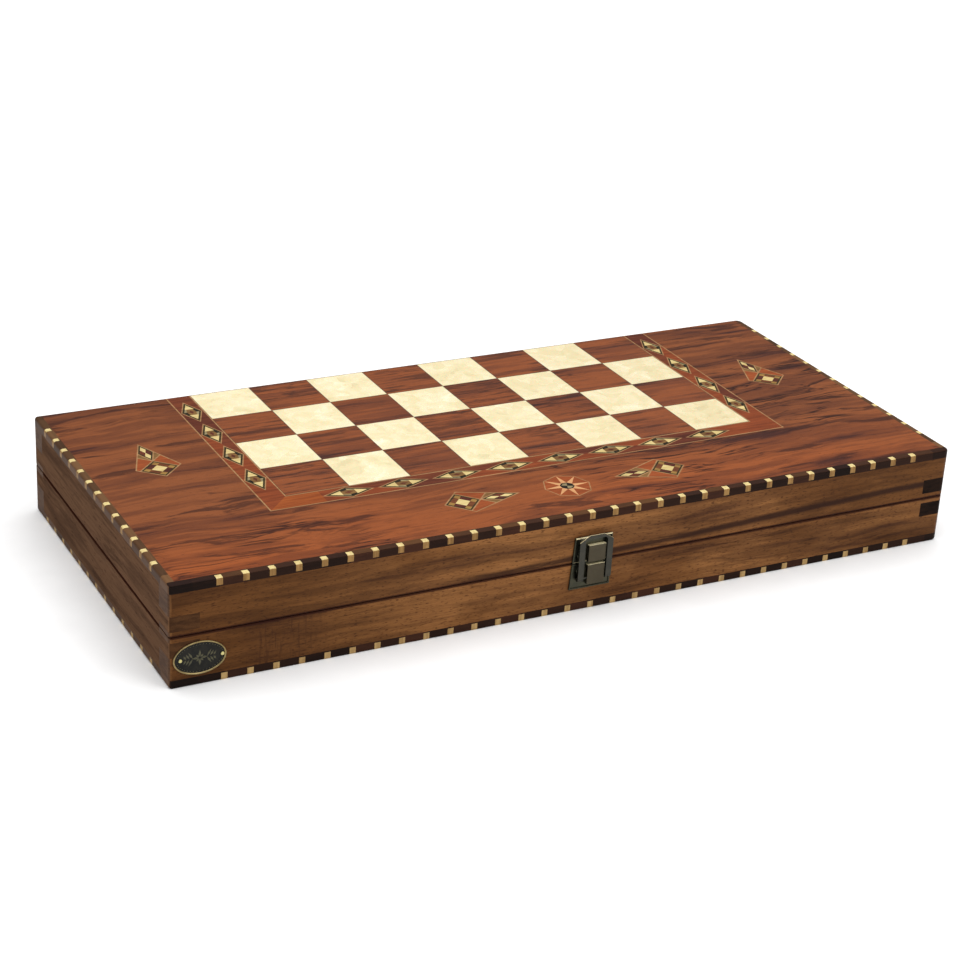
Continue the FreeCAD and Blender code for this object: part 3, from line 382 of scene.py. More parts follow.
def end_grain(name, light, dark, seed=0.0):
    """Cut end of a wall: dense dark pores, hardly any figure."""
    g = Graph(name)
    place = g.vector("ADD", g.position, (seed, seed, seed))
    rings, _ = g.noise(g.stretch(place, (1, 1, 4)), 90.0, 4.0, 0.65, 0.4)
    colour = g.ramp(rings, [(0.35, dark), (0.65, light)])
    cells = g.voronoi(place, 1900.0)["Distance"]
    pore = g.fall(cells, 0.15, 0.4)
    colour = g.mix(g.mul(pore, 0.4), colour, tuple(v * 0.5 for v in dark))
    return g.finish(colour, 0.48, g.bump(g.sub(1.0, pore), 0.2, 0.0002), Specular_IOR_Level=0.02)


def pearl(name):
    """Imitation mother-of-pearl: cream, cloudy flakes under a hard gloss."""
    g = Graph(name)
    tone, shift = square_chance(g)
    place = g.vector("ADD", g.position, g.vector("MULTIPLY", shift, (2, 2, 2)))
    place = g.vector("ADD", place, g.sway(place, 45.0, 3.0, 0.6, 0.018))
    flakes = g.voronoi(place, 150.0)
    flake = g.split(flakes["Color"])[0]
    cloud, _ = g.noise(place, 55.0, 5.0, 0.62, 1.2)
    mixed = g.add(g.mul(cloud, 0.84), g.mul(flake, 0.16))
    mixed = g.add(mixed, g.mul(g.sub(tone, 0.5), 0.08))
    colour = g.ramp(mixed, [(0.26, srgb(217, 202, 158)), (0.42, srgb(231, 216, 171)),
                            (0.58, srgb(238, 224, 184)), (0.74, srgb(249, 238, 205))])
    x, _, _ = g.split(g.position)
    dim = g.step(x, *PEARL_DIM)
    colour = g.mix(g.mul(dim, 0.5), colour, g.tint(colour, (0.86, 0.84, 0.80)))
    colour = joint_line(g, colour)
    shine = g.add(0.16, g.mul(flake, 0.16))
    return g.finish(colour, shine, g.bump(cloud, 0.05, 0.0003), Coat_Weight=0.5,
                    Coat_Roughness=0.12, IOR=1.52, Subsurface_Weight=0.08, Subsurface_Scale=0.001)


def small_wood(name, light, dark, grain):
    """Inlay wood for small pieces and lines: fine fibre and little figure."""
    g = Graph(name)
    streak, _ = g.noise(g.stretch(g.position, GRAIN[grain]), 32.0, 4.0, 0.65, 0.3)
    colour = g.ramp(streak, [(0.3, dark), (0.68, light)])
    patch, _ = g.noise(g.position, 140.0, 2.0)
    value = g.add(0.86, g.mul(patch, 0.28))
    colour = g.tint(colour, value)
    return g.finish(colour, g.add(0.4, g.mul(streak, 0.08)), g.bump(streak, 0.12, 0.0001),
                    Specular_IOR_Level=0.06)


def metal(name, base, paler, roughness, patina=0.4, whole=1.0):
    """Plated sheet metal: patina clouds, brushed lines and lighter rubbed spots."""
    g = Graph(name)
    cloud, _ = g.noise(g.position, 220.0, 4.0, 0.6)
    lines, _ = g.noise(g.stretch(g.position, tuple(1 + 4 * (s - 1) for s in GRAIN["X"])), 60.0,
                       3.0, 0.6)
    colour = g.mix(g.mul(g.step(cloud, 0.35, 0.75), patina), base, paler)
    value = g.add(0.9, g.mul(lines, 0.2))
    colour = g.tint(colour, value)
    rough = g.add(roughness, g.mul(g.sub(lines, 0.5), 0.25))
    rough = g.add(rough, g.mul(g.sub(cloud, 0.5), 0.18))
    return g.finish(colour, rough, g.bump(g.add(lines, cloud), 0.06, 0.0001), Metallic=whole)


# ---- the set of materials

VENEER_WOOD = srgb(139, 75, 38), srgb(114, 60, 32), srgb(67, 34, 26)
SQUARE_WOOD = srgb(130, 69, 34), srgb(108, 56, 30), srgb(62, 30, 22)
WALL_WOOD = srgb(142, 95, 54), srgb(116, 76, 43), srgb(80, 49, 30)
# the end walls' darker, greyer tones are painted shade and painted sheen: the shade and the
# lacquer's haze on the case's left face
SIDE_WOOD = srgb(104, 77, 58), srgb(86, 63, 48), srgb(62, 45, 36)
BANDING_TOP = srgb(88, 58, 34), srgb(58, 36, 25), srgb(36, 22, 18)
BANDING_FACE = srgb(64, 38, 27), srgb(42, 26, 19), srgb(24, 16, 13)
SIDE_TOP = srgb(106, 76, 50), srgb(80, 56, 37), srgb(52, 36, 26)
# the side banding's face is darker and greyer than its top: painted shade and painted sheen of
# the left face
SIDE_FACE = srgb(98, 72, 54), srgb(80, 58, 44), srgb(58, 42, 32)
FRONT_PITCH, SIDE_PITCH, SIDE_START = 14.81 * MM, 15.4 * MM, 3.3 * MM
LOWER_BLOCK_SHIFT = 2.8 * MM

SMALL_WOODS = {
    # tone: material's name, light and dark colour, direction of the grain
    "string": ("stringing", (160, 122, 84), (134, 98, 64), "X"),
    "band_red": ("padauk_red", (130, 64, 34), (104, 49, 27), "X"),
    "band_brown": ("padauk_brown", (110, 56, 34), (86, 42, 28), "X"),
    "band_orange": ("padauk_orange", (148, 78, 36), (124, 60, 28), "X"),
    "band_dark": ("padauk_dark", (96, 48, 32), (73, 35, 25), "X"),
    "star_gap": ("star_gap", (146, 74, 38), (122, 60, 31), "X"),
    "ebony": ("green_black_wood", (62, 52, 28), (42, 35, 21), "X"),
    "cream": ("cream_inlay", (204, 184, 128), (184, 160, 104), "X"),
    "rose": ("rose_inlay", (96, 48, 32), (74, 35, 26), "X"),
    "maroon": ("maroon_inlay", (84, 42, 32), (64, 32, 26), "X"),
    "olive": ("olive_inlay", (124, 92, 52), (100, 72, 42), "X"),
    "tan": ("tan_inlay", (150, 116, 62), (124, 92, 48), "X"),
    "brown": ("brown_inlay", (108, 62, 36), (86, 48, 28), "X"),
    "peach": ("peach_inlay", (204, 154, 106), (184, 132, 88), "X"),
    "black": ("black_inlay", (34, 29, 22), (20, 17, 14), "X"),
    "grey": ("grey_inlay", (150, 136, 100), (112, 100, 74), "X"),
    "block": ("light_block", (216, 199, 142), (192, 168, 112), "Z"),
    "upper_block_side": ("upper_block_side", (158, 122, 74), (122, 90, 52), "Z"),
    "lower_block_side": ("lower_block_side", (188, 156, 104), (152, 120, 76), "Z"),
}

M = {
    "pearl": pearl("pearl_square"),
    "dark_square": wood("dark_square", *SQUARE_WOOD, figure=6.5,
                        wave=0.006, streaks=0.75, bold=0.6, per_square=True, seed=3.0,
                        extra=joint_line),
    "banding_top": banding("front_banding_top", "X", FRONT_PITCH, 0.0, BANDING_TOP,
                           LOWER_BLOCK_SHIFT),
    "banding_face": banding("front_banding_face", "X", FRONT_PITCH, 0.0, BANDING_FACE,
                            LOWER_BLOCK_SHIFT),
    "banding_side_top": banding("side_banding_top", "Y", SIDE_PITCH, SIDE_START, SIDE_TOP),
    "banding_side_face": banding("side_banding_face", "Y", SIDE_PITCH, SIDE_START, SIDE_FACE),
    "panel": wood("panel_edge", srgb(150, 104, 66), srgb(124, 82, 50), srgb(92, 58, 38),
                  figure=9.0, streaks=0.2, seed=8.0),
    "end_grain": end_grain("wall_end_grain", srgb(36, 24, 18), srgb(22, 15, 12)),
    "end_grain_warm": end_grain("wall_end_grain_warm", srgb(82, 54, 33), srgb(62, 40, 25), 2.0),
    # the end grain on the end faces is greyer: painted sheen and painted shade of the left face
    "end_grain_side": end_grain("wall_end_grain_side", srgb(96, 71, 54), srgb(78, 57, 44), 4.0),
    "latch": metal("latch_plating", srgb(62, 62, 52), srgb(84, 82, 66), 0.34),
    "frame_metal": metal("frame_plating", srgb(60, 59, 54), srgb(78, 76, 66), 0.32),
    "tongue": metal("tongue_plating", srgb(70, 64, 52), srgb(86, 79, 64), 0.38),
    # painted highlight: near-white plating on the metal's upward edges, standing in for the light
    # they catch
    "painted_highlight": metal("painted_highlight_plating", srgb(226, 212, 168), srgb(240, 230, 196), 0.3, whole=0.4),
    "hinge": metal("hinge_brass", srgb(172, 142, 84), srgb(204, 176, 112), 0.34),
    "steel": metal("pin_steel", srgb(178, 170, 150), srgb(206, 198, 178), 0.28),
    "plaque_rim": metal("plaque_brass", srgb(140, 122, 82), srgb(176, 158, 112), 0.36,
                        patina=0.7),
    "pin_brass": metal("pin_brass", srgb(206, 196, 132), srgb(232, 222, 170), 0.3),
    "field": wood("playing_field", srgb(190, 128, 80), srgb(166, 106, 66), srgb(124, 74, 48),
                  figure=5.0, streaks=0.35, seed=11.0),
    "point_light": wood("light_point", srgb(228, 196, 140), srgb(210, 174, 118),
                        srgb(180, 140, 90), figure=8.0, wave=0.005, streaks=0.15, seed=12.0),
    "point_dark": wood("dark_point", srgb(84, 48, 36), srgb(62, 34, 27), srgb(40, 22, 20),
                       figure=8.0, wave=0.005, streaks=0.4, seed=13.0),
    "checker_light": wood("light_checker", srgb(222, 184, 130), srgb(204, 162, 108),
                          srgb(172, 128, 80), figure=9.0, wave=0.005, streaks=0.2, seed=14.0,
                          gloss=0.28, coat=0.5),
    "checker_dark": wood("dark_checker", srgb(98, 50, 36), srgb(74, 36, 28), srgb(46, 22, 20),
                         figure=9.0, wave=0.005, streaks=0.4, seed=15.0, gloss=0.28, coat=0.5),
}
for tone, (name, light, dark, grain) in SMALL_WOODS.items():
    M[tone] = small_wood(name, srgb(*light), srgb(*dark), grain)


def lacquer_black():
    """The nameplate's blackened field: fine hammered grain."""
    g = Graph("plaque_black")
    grit, _ = g.noise(g.position, 1500.0, 3.0, 0.6)
    cloud, _ = g.noise(g.position, 260.0, 2.0)
    colour = g.ramp(cloud, [(0.3, srgb(15, 15, 12)), (0.7, srgb(30, 28, 22))])
    rough = g.add(0.42, g.mul(grit, 0.2))
    return g.finish(colour, rough, g.bump(grit, 0.35, 0.00012), Metallic=0.6)


def die_plastic():
    """Ivory-coloured dice with a faint cloud."""
    g = Graph("die_ivory")
    cloud, _ = g.noise(g.position, 160.0, 3.0)
    colour = g.ramp(cloud, [(0.3, srgb(232, 224, 202)), (0.7, srgb(244, 238, 222))])
    return g.finish(colour, g.add(0.16, g.mul(cloud, 0.1)), g.bump(cloud, 0.03, 0.0001),
                    Coat_Weight=0.4, Coat_Roughness=0.08)


def pip_paint():
    g = Graph("pip_black")
    grit, _ = g.noise(g.position, 900.0, 2.0)
    colour = g.ramp(grit, [(0.3, (0.008, 0.008, 0.008)), (0.7, (0.02, 0.02, 0.02))])
    return g.finish(colour, 0.35, g.bump(grit, 0.1, 0.00005))


M["plaque_black"] = lacquer_black()
M["plaque_relief"] = metal("plaque_relief", srgb(78, 75, 56), srgb(98, 94, 70), 0.42, whole=0.6)
M["ivory"] = die_plastic()
M["pip"] = pip_paint()


# ---- CAD nodes: materials

def clothe(node, *materials, choose=None):
    """Put materials on a CAD node's object; choose gives a slot for each face."""
    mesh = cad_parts[node].data
    mesh.materials.clear()
    for material in materials:
        mesh.materials.append(material)
    for face in mesh.polygons:
        face.material_index = choose(face) if choose else 0


def is_upright(face):
    return int(abs(face.normal.z) < 0.6)


def strip_slot(face):
    """0 for the top of the front strip, 1 for its front, 2 for its ends."""
    return 2 if abs(face.normal.x) > 0.8 else is_upright(face)


def dress_walls(half, number):
    """Stained boards; where a board's end shows at a corner, its cut grain shows."""
    rough = {"figure": 5.5, "wave": 0.008, "fibre": 0.35, "pores": 0.55, "coat": 0.0}
    for side in ("front", "back"):
        board = wood(f"{half}_{side}_board", *WALL_WOOD, streaks=0.35, shine=0.05,
                     seed=30.0 + 4 * number + (side == "back"),
                     extra=wall_stain(half == "upper"), **rough)
        clothe(f"{half}_{side}_wall", board, M["end_grain_side"],
               choose=lambda face: int(abs(face.normal.x) > 0.7))
    for side in ("left", "right"):
        # the end walls' boards have no specular shine: their haze and shade are painted into
        # their colours
        board = wood(f"{half}_{side}_board", *SIDE_WOOD, grain="Y", streaks=0.3, shine=0.0,
                     seed=40.0 + 4 * number + (side == "left"),
                     extra=pale_corners_and_seam_shade(srgb(132, 94, 62)), **rough)
        on_left = node_box(f"{half}_{side}_wall")[0].x < 0
        ends = M["end_grain_warm"] if on_left else M["end_grain"]
        clothe(f"{half}_{side}_wall", board, ends,
               choose=lambda face: int(abs(face.normal.y) > 0.7))


def dress_case():
    for number, half in enumerate(HALVES):
        # the veneer's colour carries a painted sheen towards the back
        veneer = wood(f"{half}_veneer", *VENEER_WOOD, figure=4.2,
                      wave=0.020, streaks=0.95, bold=0.7, coat=0.0, shine=0.08,
                      seed=20.0 + number, extra=veneer_drift_and_sheen)
        clothe(f"{half}_outer_veneer", veneer)
        clothe(f"{half}_light_squares", M["pearl"])
        clothe(f"{half}_dark_squares", M["dark_square"])
        clothe(f"{half}_panel", M["panel"])
        clothe(f"{half}_front_banding", M["banding_top"], M["banding_face"],
               M["banding_side_face"], choose=strip_slot)
        for side in ("left", "right"):
            clothe(f"{half}_{side}_banding", M["banding_side_top"], M["banding_side_face"],
                   choose=is_upright)
        clothe(f"{half}_edge_blocks", M["block"], M[f"{half}_block_side"], choose=is_upright)
        clothe(f"{half}_field_veneer", M["field"])
        dress_walls(half, number)
        clothe(f"{half}_hinge_screws", M["steel"])
        for side in ("left", "right"):
            clothe(f"{side}_hinge_{half}_leaf", M["hinge"])
    clothe("hinge_pins", M["steel"])
    clothe("latch_pin", M["frame_metal"])
    for tone in ("light", "dark"):
        for place in ("front", "middle", "back"):
            clothe(f"{tone}_checkers_{place}", M[f"checker_{tone}"])
    dress_dice()


DIE_ROUND, PIP_DEPTH = 1.3 * MM, 0.06 * MM


def dress_dice():
    """Faces of the dice that lie under their rounded cube's surface are pips."""
    for name in ("left_die", "right_die"):
        low, high = node_box(name)
        centre, half, soft = (low + high) / 2, (high.x - low.x) / 2, DIE_ROUND

        def is_pip(face):
            out = [max(abs(c) - (half - soft), 0.0) for c in face.center - centre]
            return int(Vector(out).length < soft - PIP_DEPTH)
        clothe(name, M["ivory"], M["pip"], choose=is_pip)


dress_case()


# ---- making pieces

def add_object(name, data):
    made = bpy.data.objects.new(name, data)
    bpy.context.collection.objects.link(made)
    return made


def add_piece(name, shape, materials, body, slot, *replaced):
    """A piece from a finished bmesh, riding on a body in place of CAD nodes."""
    bmesh.ops.recalc_face_normals(shape, faces=shape.faces)
    mesh = bpy.data.meshes.new(name)
    shape.to_mesh(mesh)
    shape.free()
    for material in materials:
        mesh.materials.append(material)
    piece = add_object(name, mesh)
    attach(piece, body)
    if replaced:
        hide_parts(*replaced)
    return piece


def soften(piece, width):
    """Rounded edges wherever two faces meet at more than 30 degrees."""
    bevel = piece.modifiers.new("rounded_edges", "BEVEL")
    bevel.width = width
    bevel.segments = 3
    bevel.limit_method = "ANGLE"
    bevel.angle_limit = math.radians(30)


def add_prism(shape, loop, shift, slot=0):
    """A closed prism on a bmesh: a loop of points and the same loop shifted."""
    near = [shape.verts.new(point) for point in loop]
    far = [shape.verts.new(point + shift) for point in loop]
    faces = [shape.faces.new(near), shape.faces.new(far[::-1])]
    count = len(loop)
    for i in range(count):
        after = (i + 1) % count
        faces.append(shape.faces.new((near[i], far[i], far[after], near[after])))
    for face in faces:
        face.material_index = slot
    return faces


def loop_of(shape, sides, point):
    """New points all round: point(cosine, sine) gives each one's place."""
    angles = [2 * math.pi * i / sides for i in range(sides)]
    return [shape.verts.new(point(math.cos(angle), math.sin(angle))) for angle in angles]


def bridge(shape, one, two):
    """Faces between two loops of as many points."""
    after = [*range(1, len(one)), 0]
    return [shape.faces.new((one[i], one[j], two[j], two[i])) for i, j in enumerate(after)]


def turned(shape, profile, centre, sides=24, slot=0):
    """A round solid standing out of the front wall: (radius, proud) pairs about Y."""
    rings = [loop_of(shape, sides, lambda cosine, sine: centre
                     + Vector((radius * cosine, -proud, radius * sine)))
             for radius, proud in profile]
    faces = [shape.faces.new(rings[0]), shape.faces.new(rings[-1][::-1])]
    for inner, outer in zip(rings, rings[1:]):
        faces += bridge(shape, inner, outer)
    for face in faces:
        face.material_index = slot
        face.smooth = True


# ---- flat inlay

def inset(points, widths):
    """An anticlockwise outline moved inwards, by one distance for each of its sides."""
    moved = []
    count = len(points)
    for i in range(count):
        before, here, after = (Vector(points[(i + k) % count]) for k in (-1, 0, 1))
        arriving, leaving = (here - before).normalized(), (after - here).normalized()
        first = Vector((-arriving.y, arriving.x)) * widths[i - 1]
        second = Vector((-leaving.y, leaving.x)) * widths[i]
        turn = arriving.x * leaving.y - arriving.y * leaving.x
        gap = second - first
        moved.append(tuple(here + first + arriving * (gap.x * leaving.y - gap.y * leaving.x)
                           / turn))
    return moved


class Inlay:
    """Flat pieces of coloured wood, each a closed prism, gathered into one piece.

    Outlines are drawn as seen on the lid's outer face; the lower half has them turned over.
    """

    def __init__(self, half, face, back):
        self.half, self.face, self.back = half, face, back
        self.shape = bmesh.new()
        self.tones = []

    def spot(self, x, y, depth):
        if self.half == "upper":
            return Vector((x, y, CASE_TOP - depth))
        return Vector((-x, y, depth))

    def lay(self, points, tone, at=None):
        if tone not in self.tones:
            self.tones.append(tone)
        places = [at(*point) for point in points] if at else points
        shift = self.spot(0, 0, self.back) - self.spot(0, 0, self.face)
        add_prism(self.shape, [self.spot(x, y, self.face) for x, y in places], shift,
                  self.tones.index(tone))

    def ring(self, points, widths, tone, at=None):
        """A frame of strips just inside an outline; returns the outline left open."""
        if isinstance(widths, float):
            widths = [widths] * len(points)
        inner = inset(points, widths)
        count = len(points)
        for i in range(count):
            after = (i + 1) % count
            self.lay([points[i], points[after], inner[after], inner[i]], tone, at)
        return inner

    def build(self, name, *replaced):
        materials = [M[tone] for tone in self.tones]
        return add_piece(name, self.shape, materials, f"{self.half}_case", "marquetry", *replaced)


STRING = 0.8 * MM
SIDE_DIAMONDS, FRONT_DIAMONDS = 4, 8
SIDE_DIAMOND_BACK, SIDE_DIAMOND_PITCH = 92.3 * MM, 34.4 * MM
FRONT_DIAMOND_PITCH = 34.1 * MM
SIDE_DIAMOND_HALF, FRONT_DIAMOND_HALF = 15.8 * MM, 16.0 * MM
DIAMOND_HALF_WIDE = 6.7 * MM
BAND_FRONT = squares_low.y - BAND
BOARD_HALF = (squares_high.x - squares_low.x) / 2


def lay_diamond(inlay, half_long, half_wide, at):
    """One lozenge: stringing, dark frame, cream tips and a small pattern in the middle."""
    outline = [(-half_long, 0.0), (0.0, -half_wide), (half_long, 0.0), (0.0, half_wide)]
    outline = inlay.ring(outline, 0.65 * MM, "string", at)
    outline = inlay.ring(outline, 1.15 * MM, "ebony", at)
    tip, side = outline[2][0], outline[3][1]
    cut = 0.38 * tip
    rise = side * (1 - cut / tip)
    shoulder, crown = 0.42 * side, 0.62 * side
    core_long, core_wide = 0.62 * cut, 0.26 * side
    for u in (-1, 1):
        inlay.lay([(u * cut, -rise), (u * tip, 0.0), (u * cut, rise)], "cream", at)
        for v in (-1, 1):
            inlay.lay([(u * core_long, 0.0), (u * cut, 0.0), (u * cut, v * shoulder),
                       (0.0, v * crown), (0.0, v * core_wide)], "olive", at)
            inlay.lay([(u * cut, v * shoulder), (u * cut, v * rise), (0.0, v * side),
                       (0.0, v * crown)], "grey" if u * v < 0 else "black", at)
    inlay.lay([(-core_long, 0.0), (0.0, -core_wide), (core_long, 0.0), (0.0, core_wide)], "rose",
              at)


def lay_band(inlay, length, starts, half_long, at, mitres):
    """One length of the border; u runs along it from 0, v from its middle outwards."""
    half, edge = BAND / 2, BAND / 2 - STRING

    def limit(end, v):
        """Where the band ends at a distance v from its middle, square or mitred."""
        if not mitres[end]:
            return length * end
        return length + v if end else -v

    for low, high in ((-half, -edge), (edge, half)):
        inlay.lay([(limit(0, low), low), (limit(1, low), low), (limit(1, high), high),
                   (limit(0, high), high)], "string", at)
    first, last = starts[0], starts[-1]
    for v in (-1, 1):
        wide, out = v * DIAMOND_HALF_WIDE, v * edge
        for one, two in zip(starts, starts[1:]):
            tone = rng.choice(("band_red", "band_brown", "band_dark", "band_red"))
            inlay.lay([(one, wide), (one + half_long, 0.0), (two - half_long, 0.0), (two, wide),
                       (two, out), (one, out)], tone, at)
        for end, centre, way in ((0, first, -1), (1, last, 1)):
            tip = centre + way * half_long
            stop = tip if mitres[end] else limit(end, 0.0)
            tone = rng.choice(("band_brown", "band_dark")) if not mitres[end] else "band_red"
            outline = [(centre, out), (centre, wide), (tip, 0.0), (stop, 0.0), (stop, out)]
            if stop == tip:
                outline.pop(3)
            inlay.lay(outline, tone, at)
    for end, centre, way in ((0, first, -1), (1, last, 1)):
        if mitres[end]:
            tip = centre + way * half_long
            tone = "band_orange" if end == 0 else "band_red"
            inlay.lay([(tip, -edge), (limit(end, -edge), -edge), (limit(end, edge), edge),
                       (tip, edge)], tone, at)
    for centre in starts:
        lay_diamond(inlay, half_long, DIAMOND_HALF_WIDE,
                    lambda u, v, centre=centre: at(centre + u, v))


def lay_border(half):
    """Three mitred lengths of band round the board's left, front and right."""
    inlay = Inlay(half, 0.0, VENEER)
    back = squares_high.y
    middle_y = BAND_FRONT + BAND / 2
    side_long = back - middle_y
    side_starts = [back - SIDE_DIAMOND_BACK + i * SIDE_DIAMOND_PITCH
                   for i in range(SIDE_DIAMONDS)]
    for way in (-1, 1):
        middle_x = BOARD_X + way * (BOARD_HALF + BAND / 2)
        lay_band(inlay, side_long, side_starts, SIDE_DIAMOND_HALF,
                 lambda u, v, x=middle_x, way=way: (x + way * v, back - u), (False, True))
    front_long = 2 * BOARD_HALF + BAND
    front_starts = [front_long / 2 + (i - (FRONT_DIAMONDS - 1) / 2) * FRONT_DIAMOND_PITCH
                    for i in range(FRONT_DIAMONDS)]
    lay_band(inlay, front_long, front_starts, FRONT_DIAMOND_HALF,
             lambda u, v: (BOARD_X - front_long / 2 + u, middle_y - v), (True, True))
    inlay.build(f"{half}_border_marquetry", f"{half}_border_band")


KITE_LONG, KITE_WIDEST, KITE_HALF_WIDE = 47.9 * MM, 13.3 * MM, 13.9 * MM
KITE_SIDE_X, KITE_SIDE_OFFSET = 1.2 * MM, 206.3 * MM
KITE_SIDE_BASE, KITE_SIDE_DRIFT, KITE_SIDE_TURN = 8.3 * MM, 1.8 * MM, math.radians(1.2)
KITE_FRONT_X, KITE_FRONT_BASE, KITE_FRONT_LINE = 4.3 * MM, 78.8 * MM, -80.0 * MM
STAR_X, STAR_LINE, STAR_RADIUS, HUB_RADIUS = 3.4 * MM, -81.3 * MM, 14.6 * MM, 4.4 * MM
OUTER_STRING, INNER_STRING = 0.75 * MM, 0.38 * MM


def lay_kite(inlay, base, toward):
    """A kite of two framed patterns, two red quarters and two small wedges."""
    across = (-toward[1], toward[0])

    def at(u, v):
        return (base[0] + u * toward[0] + v * across[0], base[1] + u * toward[1] + v * across[1])

    def flank(u):
        """Half the kite's width at a distance u from its base."""
        if u < KITE_WIDEST:
            return KITE_HALF_WIDE * u / KITE_WIDEST
        return KITE_HALF_WIDE * (KITE_LONG - u) / (KITE_LONG - KITE_WIDEST)

    square_mid, square_end, wedge = 11.35 * MM, 22.7 * MM, 29.75 * MM
    tip_mid = (square_end + KITE_LONG) / 2
    outer, inner = OUTER_STRING, INNER_STRING
    square = [(0.0, 0.0), (square_mid, -flank(square_mid)), (square_end, 0.0),
              (square_mid, flank(square_mid))]
    square = inlay.ring(square, [outer, inner, inner, outer], "string", at)
    square = inlay.ring(square, 1.0 * MM, "ebony", at)
    lay_mosaic(inlay, square, at)
    lozenge = [(square_end, 0.0), (tip_mid, -flank(tip_mid)), (KITE_LONG, 0.0),
               (tip_mid, flank(tip_mid))]
    lozenge = inlay.ring(lozenge, [inner, outer, outer, inner], "string", at)
    lozenge = inlay.ring(lozenge, 0.9 * MM, "ebony", at)
    middle = (sum(p[0] for p in lozenge) / 4, 0.0)
    mids = [tuple((Vector(p) + Vector(q)) / 2)
            for p, q in zip(lozenge, lozenge[1:] + lozenge[:1])]
    for i, tone in enumerate(("cream", "maroon", "cream", "rose")):
        inlay.lay([lozenge[i], mids[i], middle, mids[i - 1]], tone, at)
    for v in (-1, 1):
        quarter = [(KITE_WIDEST, v * KITE_HALF_WIDE), (wedge, v * flank(wedge)),
                   (square_end, 0.0), (square_mid, v * flank(square_mid))]
        small = [(square_end, 0.0), (wedge, v * flank(wedge)), (tip_mid, v * flank(tip_mid))]
        quarter_widths, small_widths = [outer, inner, inner, outer], [inner, outer, inner]
        if v > 0:
            quarter, quarter_widths = quarter[::-1], [inner, inner, outer, outer]
            small, small_widths = small[::-1], [outer, inner, inner]
        inlay.lay(inlay.ring(quarter, quarter_widths, "string", at), "star_gap", at)
        inlay.lay(inlay.ring(small, small_widths, "string", at), "olive", at)


def lay_mosaic(inlay, corners, at):
    """Three by three small tiles across a four-cornered outline."""
    cuts = (0.0, 0.25, 0.75, 1.0)
    tones = (("tan", "brown", "tan"), ("maroon", "cream", "maroon"), ("tan", "brown", "tan"))
    a, b, c, d = (Vector(corner) for corner in corners)

    def inside(s, t):
        return tuple(a.lerp(b, s).lerp(d.lerp(c, s), t))
    for i, row in enumerate(tones):
        for j, tone in enumerate(row):
            inlay.lay([inside(cuts[i], cuts[j]), inside(cuts[i + 1], cuts[j]),
                       inside(cuts[i + 1], cuts[j + 1]), inside(cuts[i], cuts[j + 1])],
                      tone, at)


def polygon(radius, sides, start_degrees=0.0):
    angles = [math.radians(start_degrees + 360 * i / sides) for i in range(sides)]
    return [(radius * math.cos(angle), radius * math.sin(angle)) for angle in angles]


def lay_star(inlay):
    """An octagon with eight pale rays round a small dark hub."""
    def at(u, v):
        return STAR_X + u, STAR_LINE + v
    rim = inlay.ring(polygon(STAR_RADIUS, 8), 0.6 * MM, "string", at)
    hub = polygon(HUB_RADIUS, 8, 22.5)
    for i in range(8):
        inlay.lay([hub[i - 1], rim[i], hub[i]], "peach", at)
        inlay.lay([hub[i], rim[i], rim[(i + 1) % 8]], "star_gap", at)
    inner = inlay.ring(hub, 0.9 * MM, "black", at)
    for i in range(0, 8, 2):
        tone = "grey" if i % 4 else "black"
        inlay.lay([(0.0, 0.0), inner[i - 1], inner[i], inner[(i + 1) % 8]], tone, at)


def lay_motifs(half):
    """Kites beside and before the board, and the star, in the plain veneer."""
    inlay = Inlay(half, 0.0, VENEER)
    leaning = (-math.sin(KITE_SIDE_TURN), math.cos(KITE_SIDE_TURN))
    for way in (-1, 1):
        lay_kite(inlay, (KITE_SIDE_X + way * KITE_SIDE_OFFSET,
                         KITE_SIDE_BASE - way * KITE_SIDE_DRIFT), leaning)
        lay_kite(inlay, (KITE_FRONT_X + way * KITE_FRONT_BASE, KITE_FRONT_LINE), (-way, 0))
    lay_star(inlay)
    inlay.build(f"{half}_field_motifs", f"{half}_motif_inlays")


POINT_LONG, POINT_HALF_WIDE = 165.0 * MM, 15.0 * MM
LANES = 6


def lay_points(half):
    """Twelve long points inside each half, edged with stringing, a lozenge at each base."""
    light_low, light_high = node_box("lower_light_points")
    dark_low, dark_high = node_box("lower_dark_points")
    ends = [min(light_low.x, dark_low.x), max(light_high.x, dark_high.x)]
    front, back = min(light_low.y, dark_low.y), max(light_high.y, dark_high.y)
    reach = POINT_HALF_WIDE
    pitch = (back - front - 2 * reach) / (LANES - 1)
    inlay = Inlay(half, FIELD_HIGH, FIELD_LOW)
    for side, base_x in zip((-1, 1), ends):
        for lane in range(LANES):
            y = front + reach + lane * pitch
            tone = "point_light" if (lane + (side > 0)) % 2 else "point_dark"

            def at(u, v, y=y, base_x=base_x, side=side):
                # minus, because outlines are drawn as seen from the outer face
                return -(base_x - side * u), y + v
            outline = [(0.0, -reach), (POINT_LONG, 0.0), (0.0, reach)]
            outline = inlay.ring(outline, 0.7 * MM, "string", at)
            lay_point_filling(inlay, outline, tone, at)
    inlay.build(f"{half}_points_marquetry", f"{half}_light_points", f"{half}_dark_points")


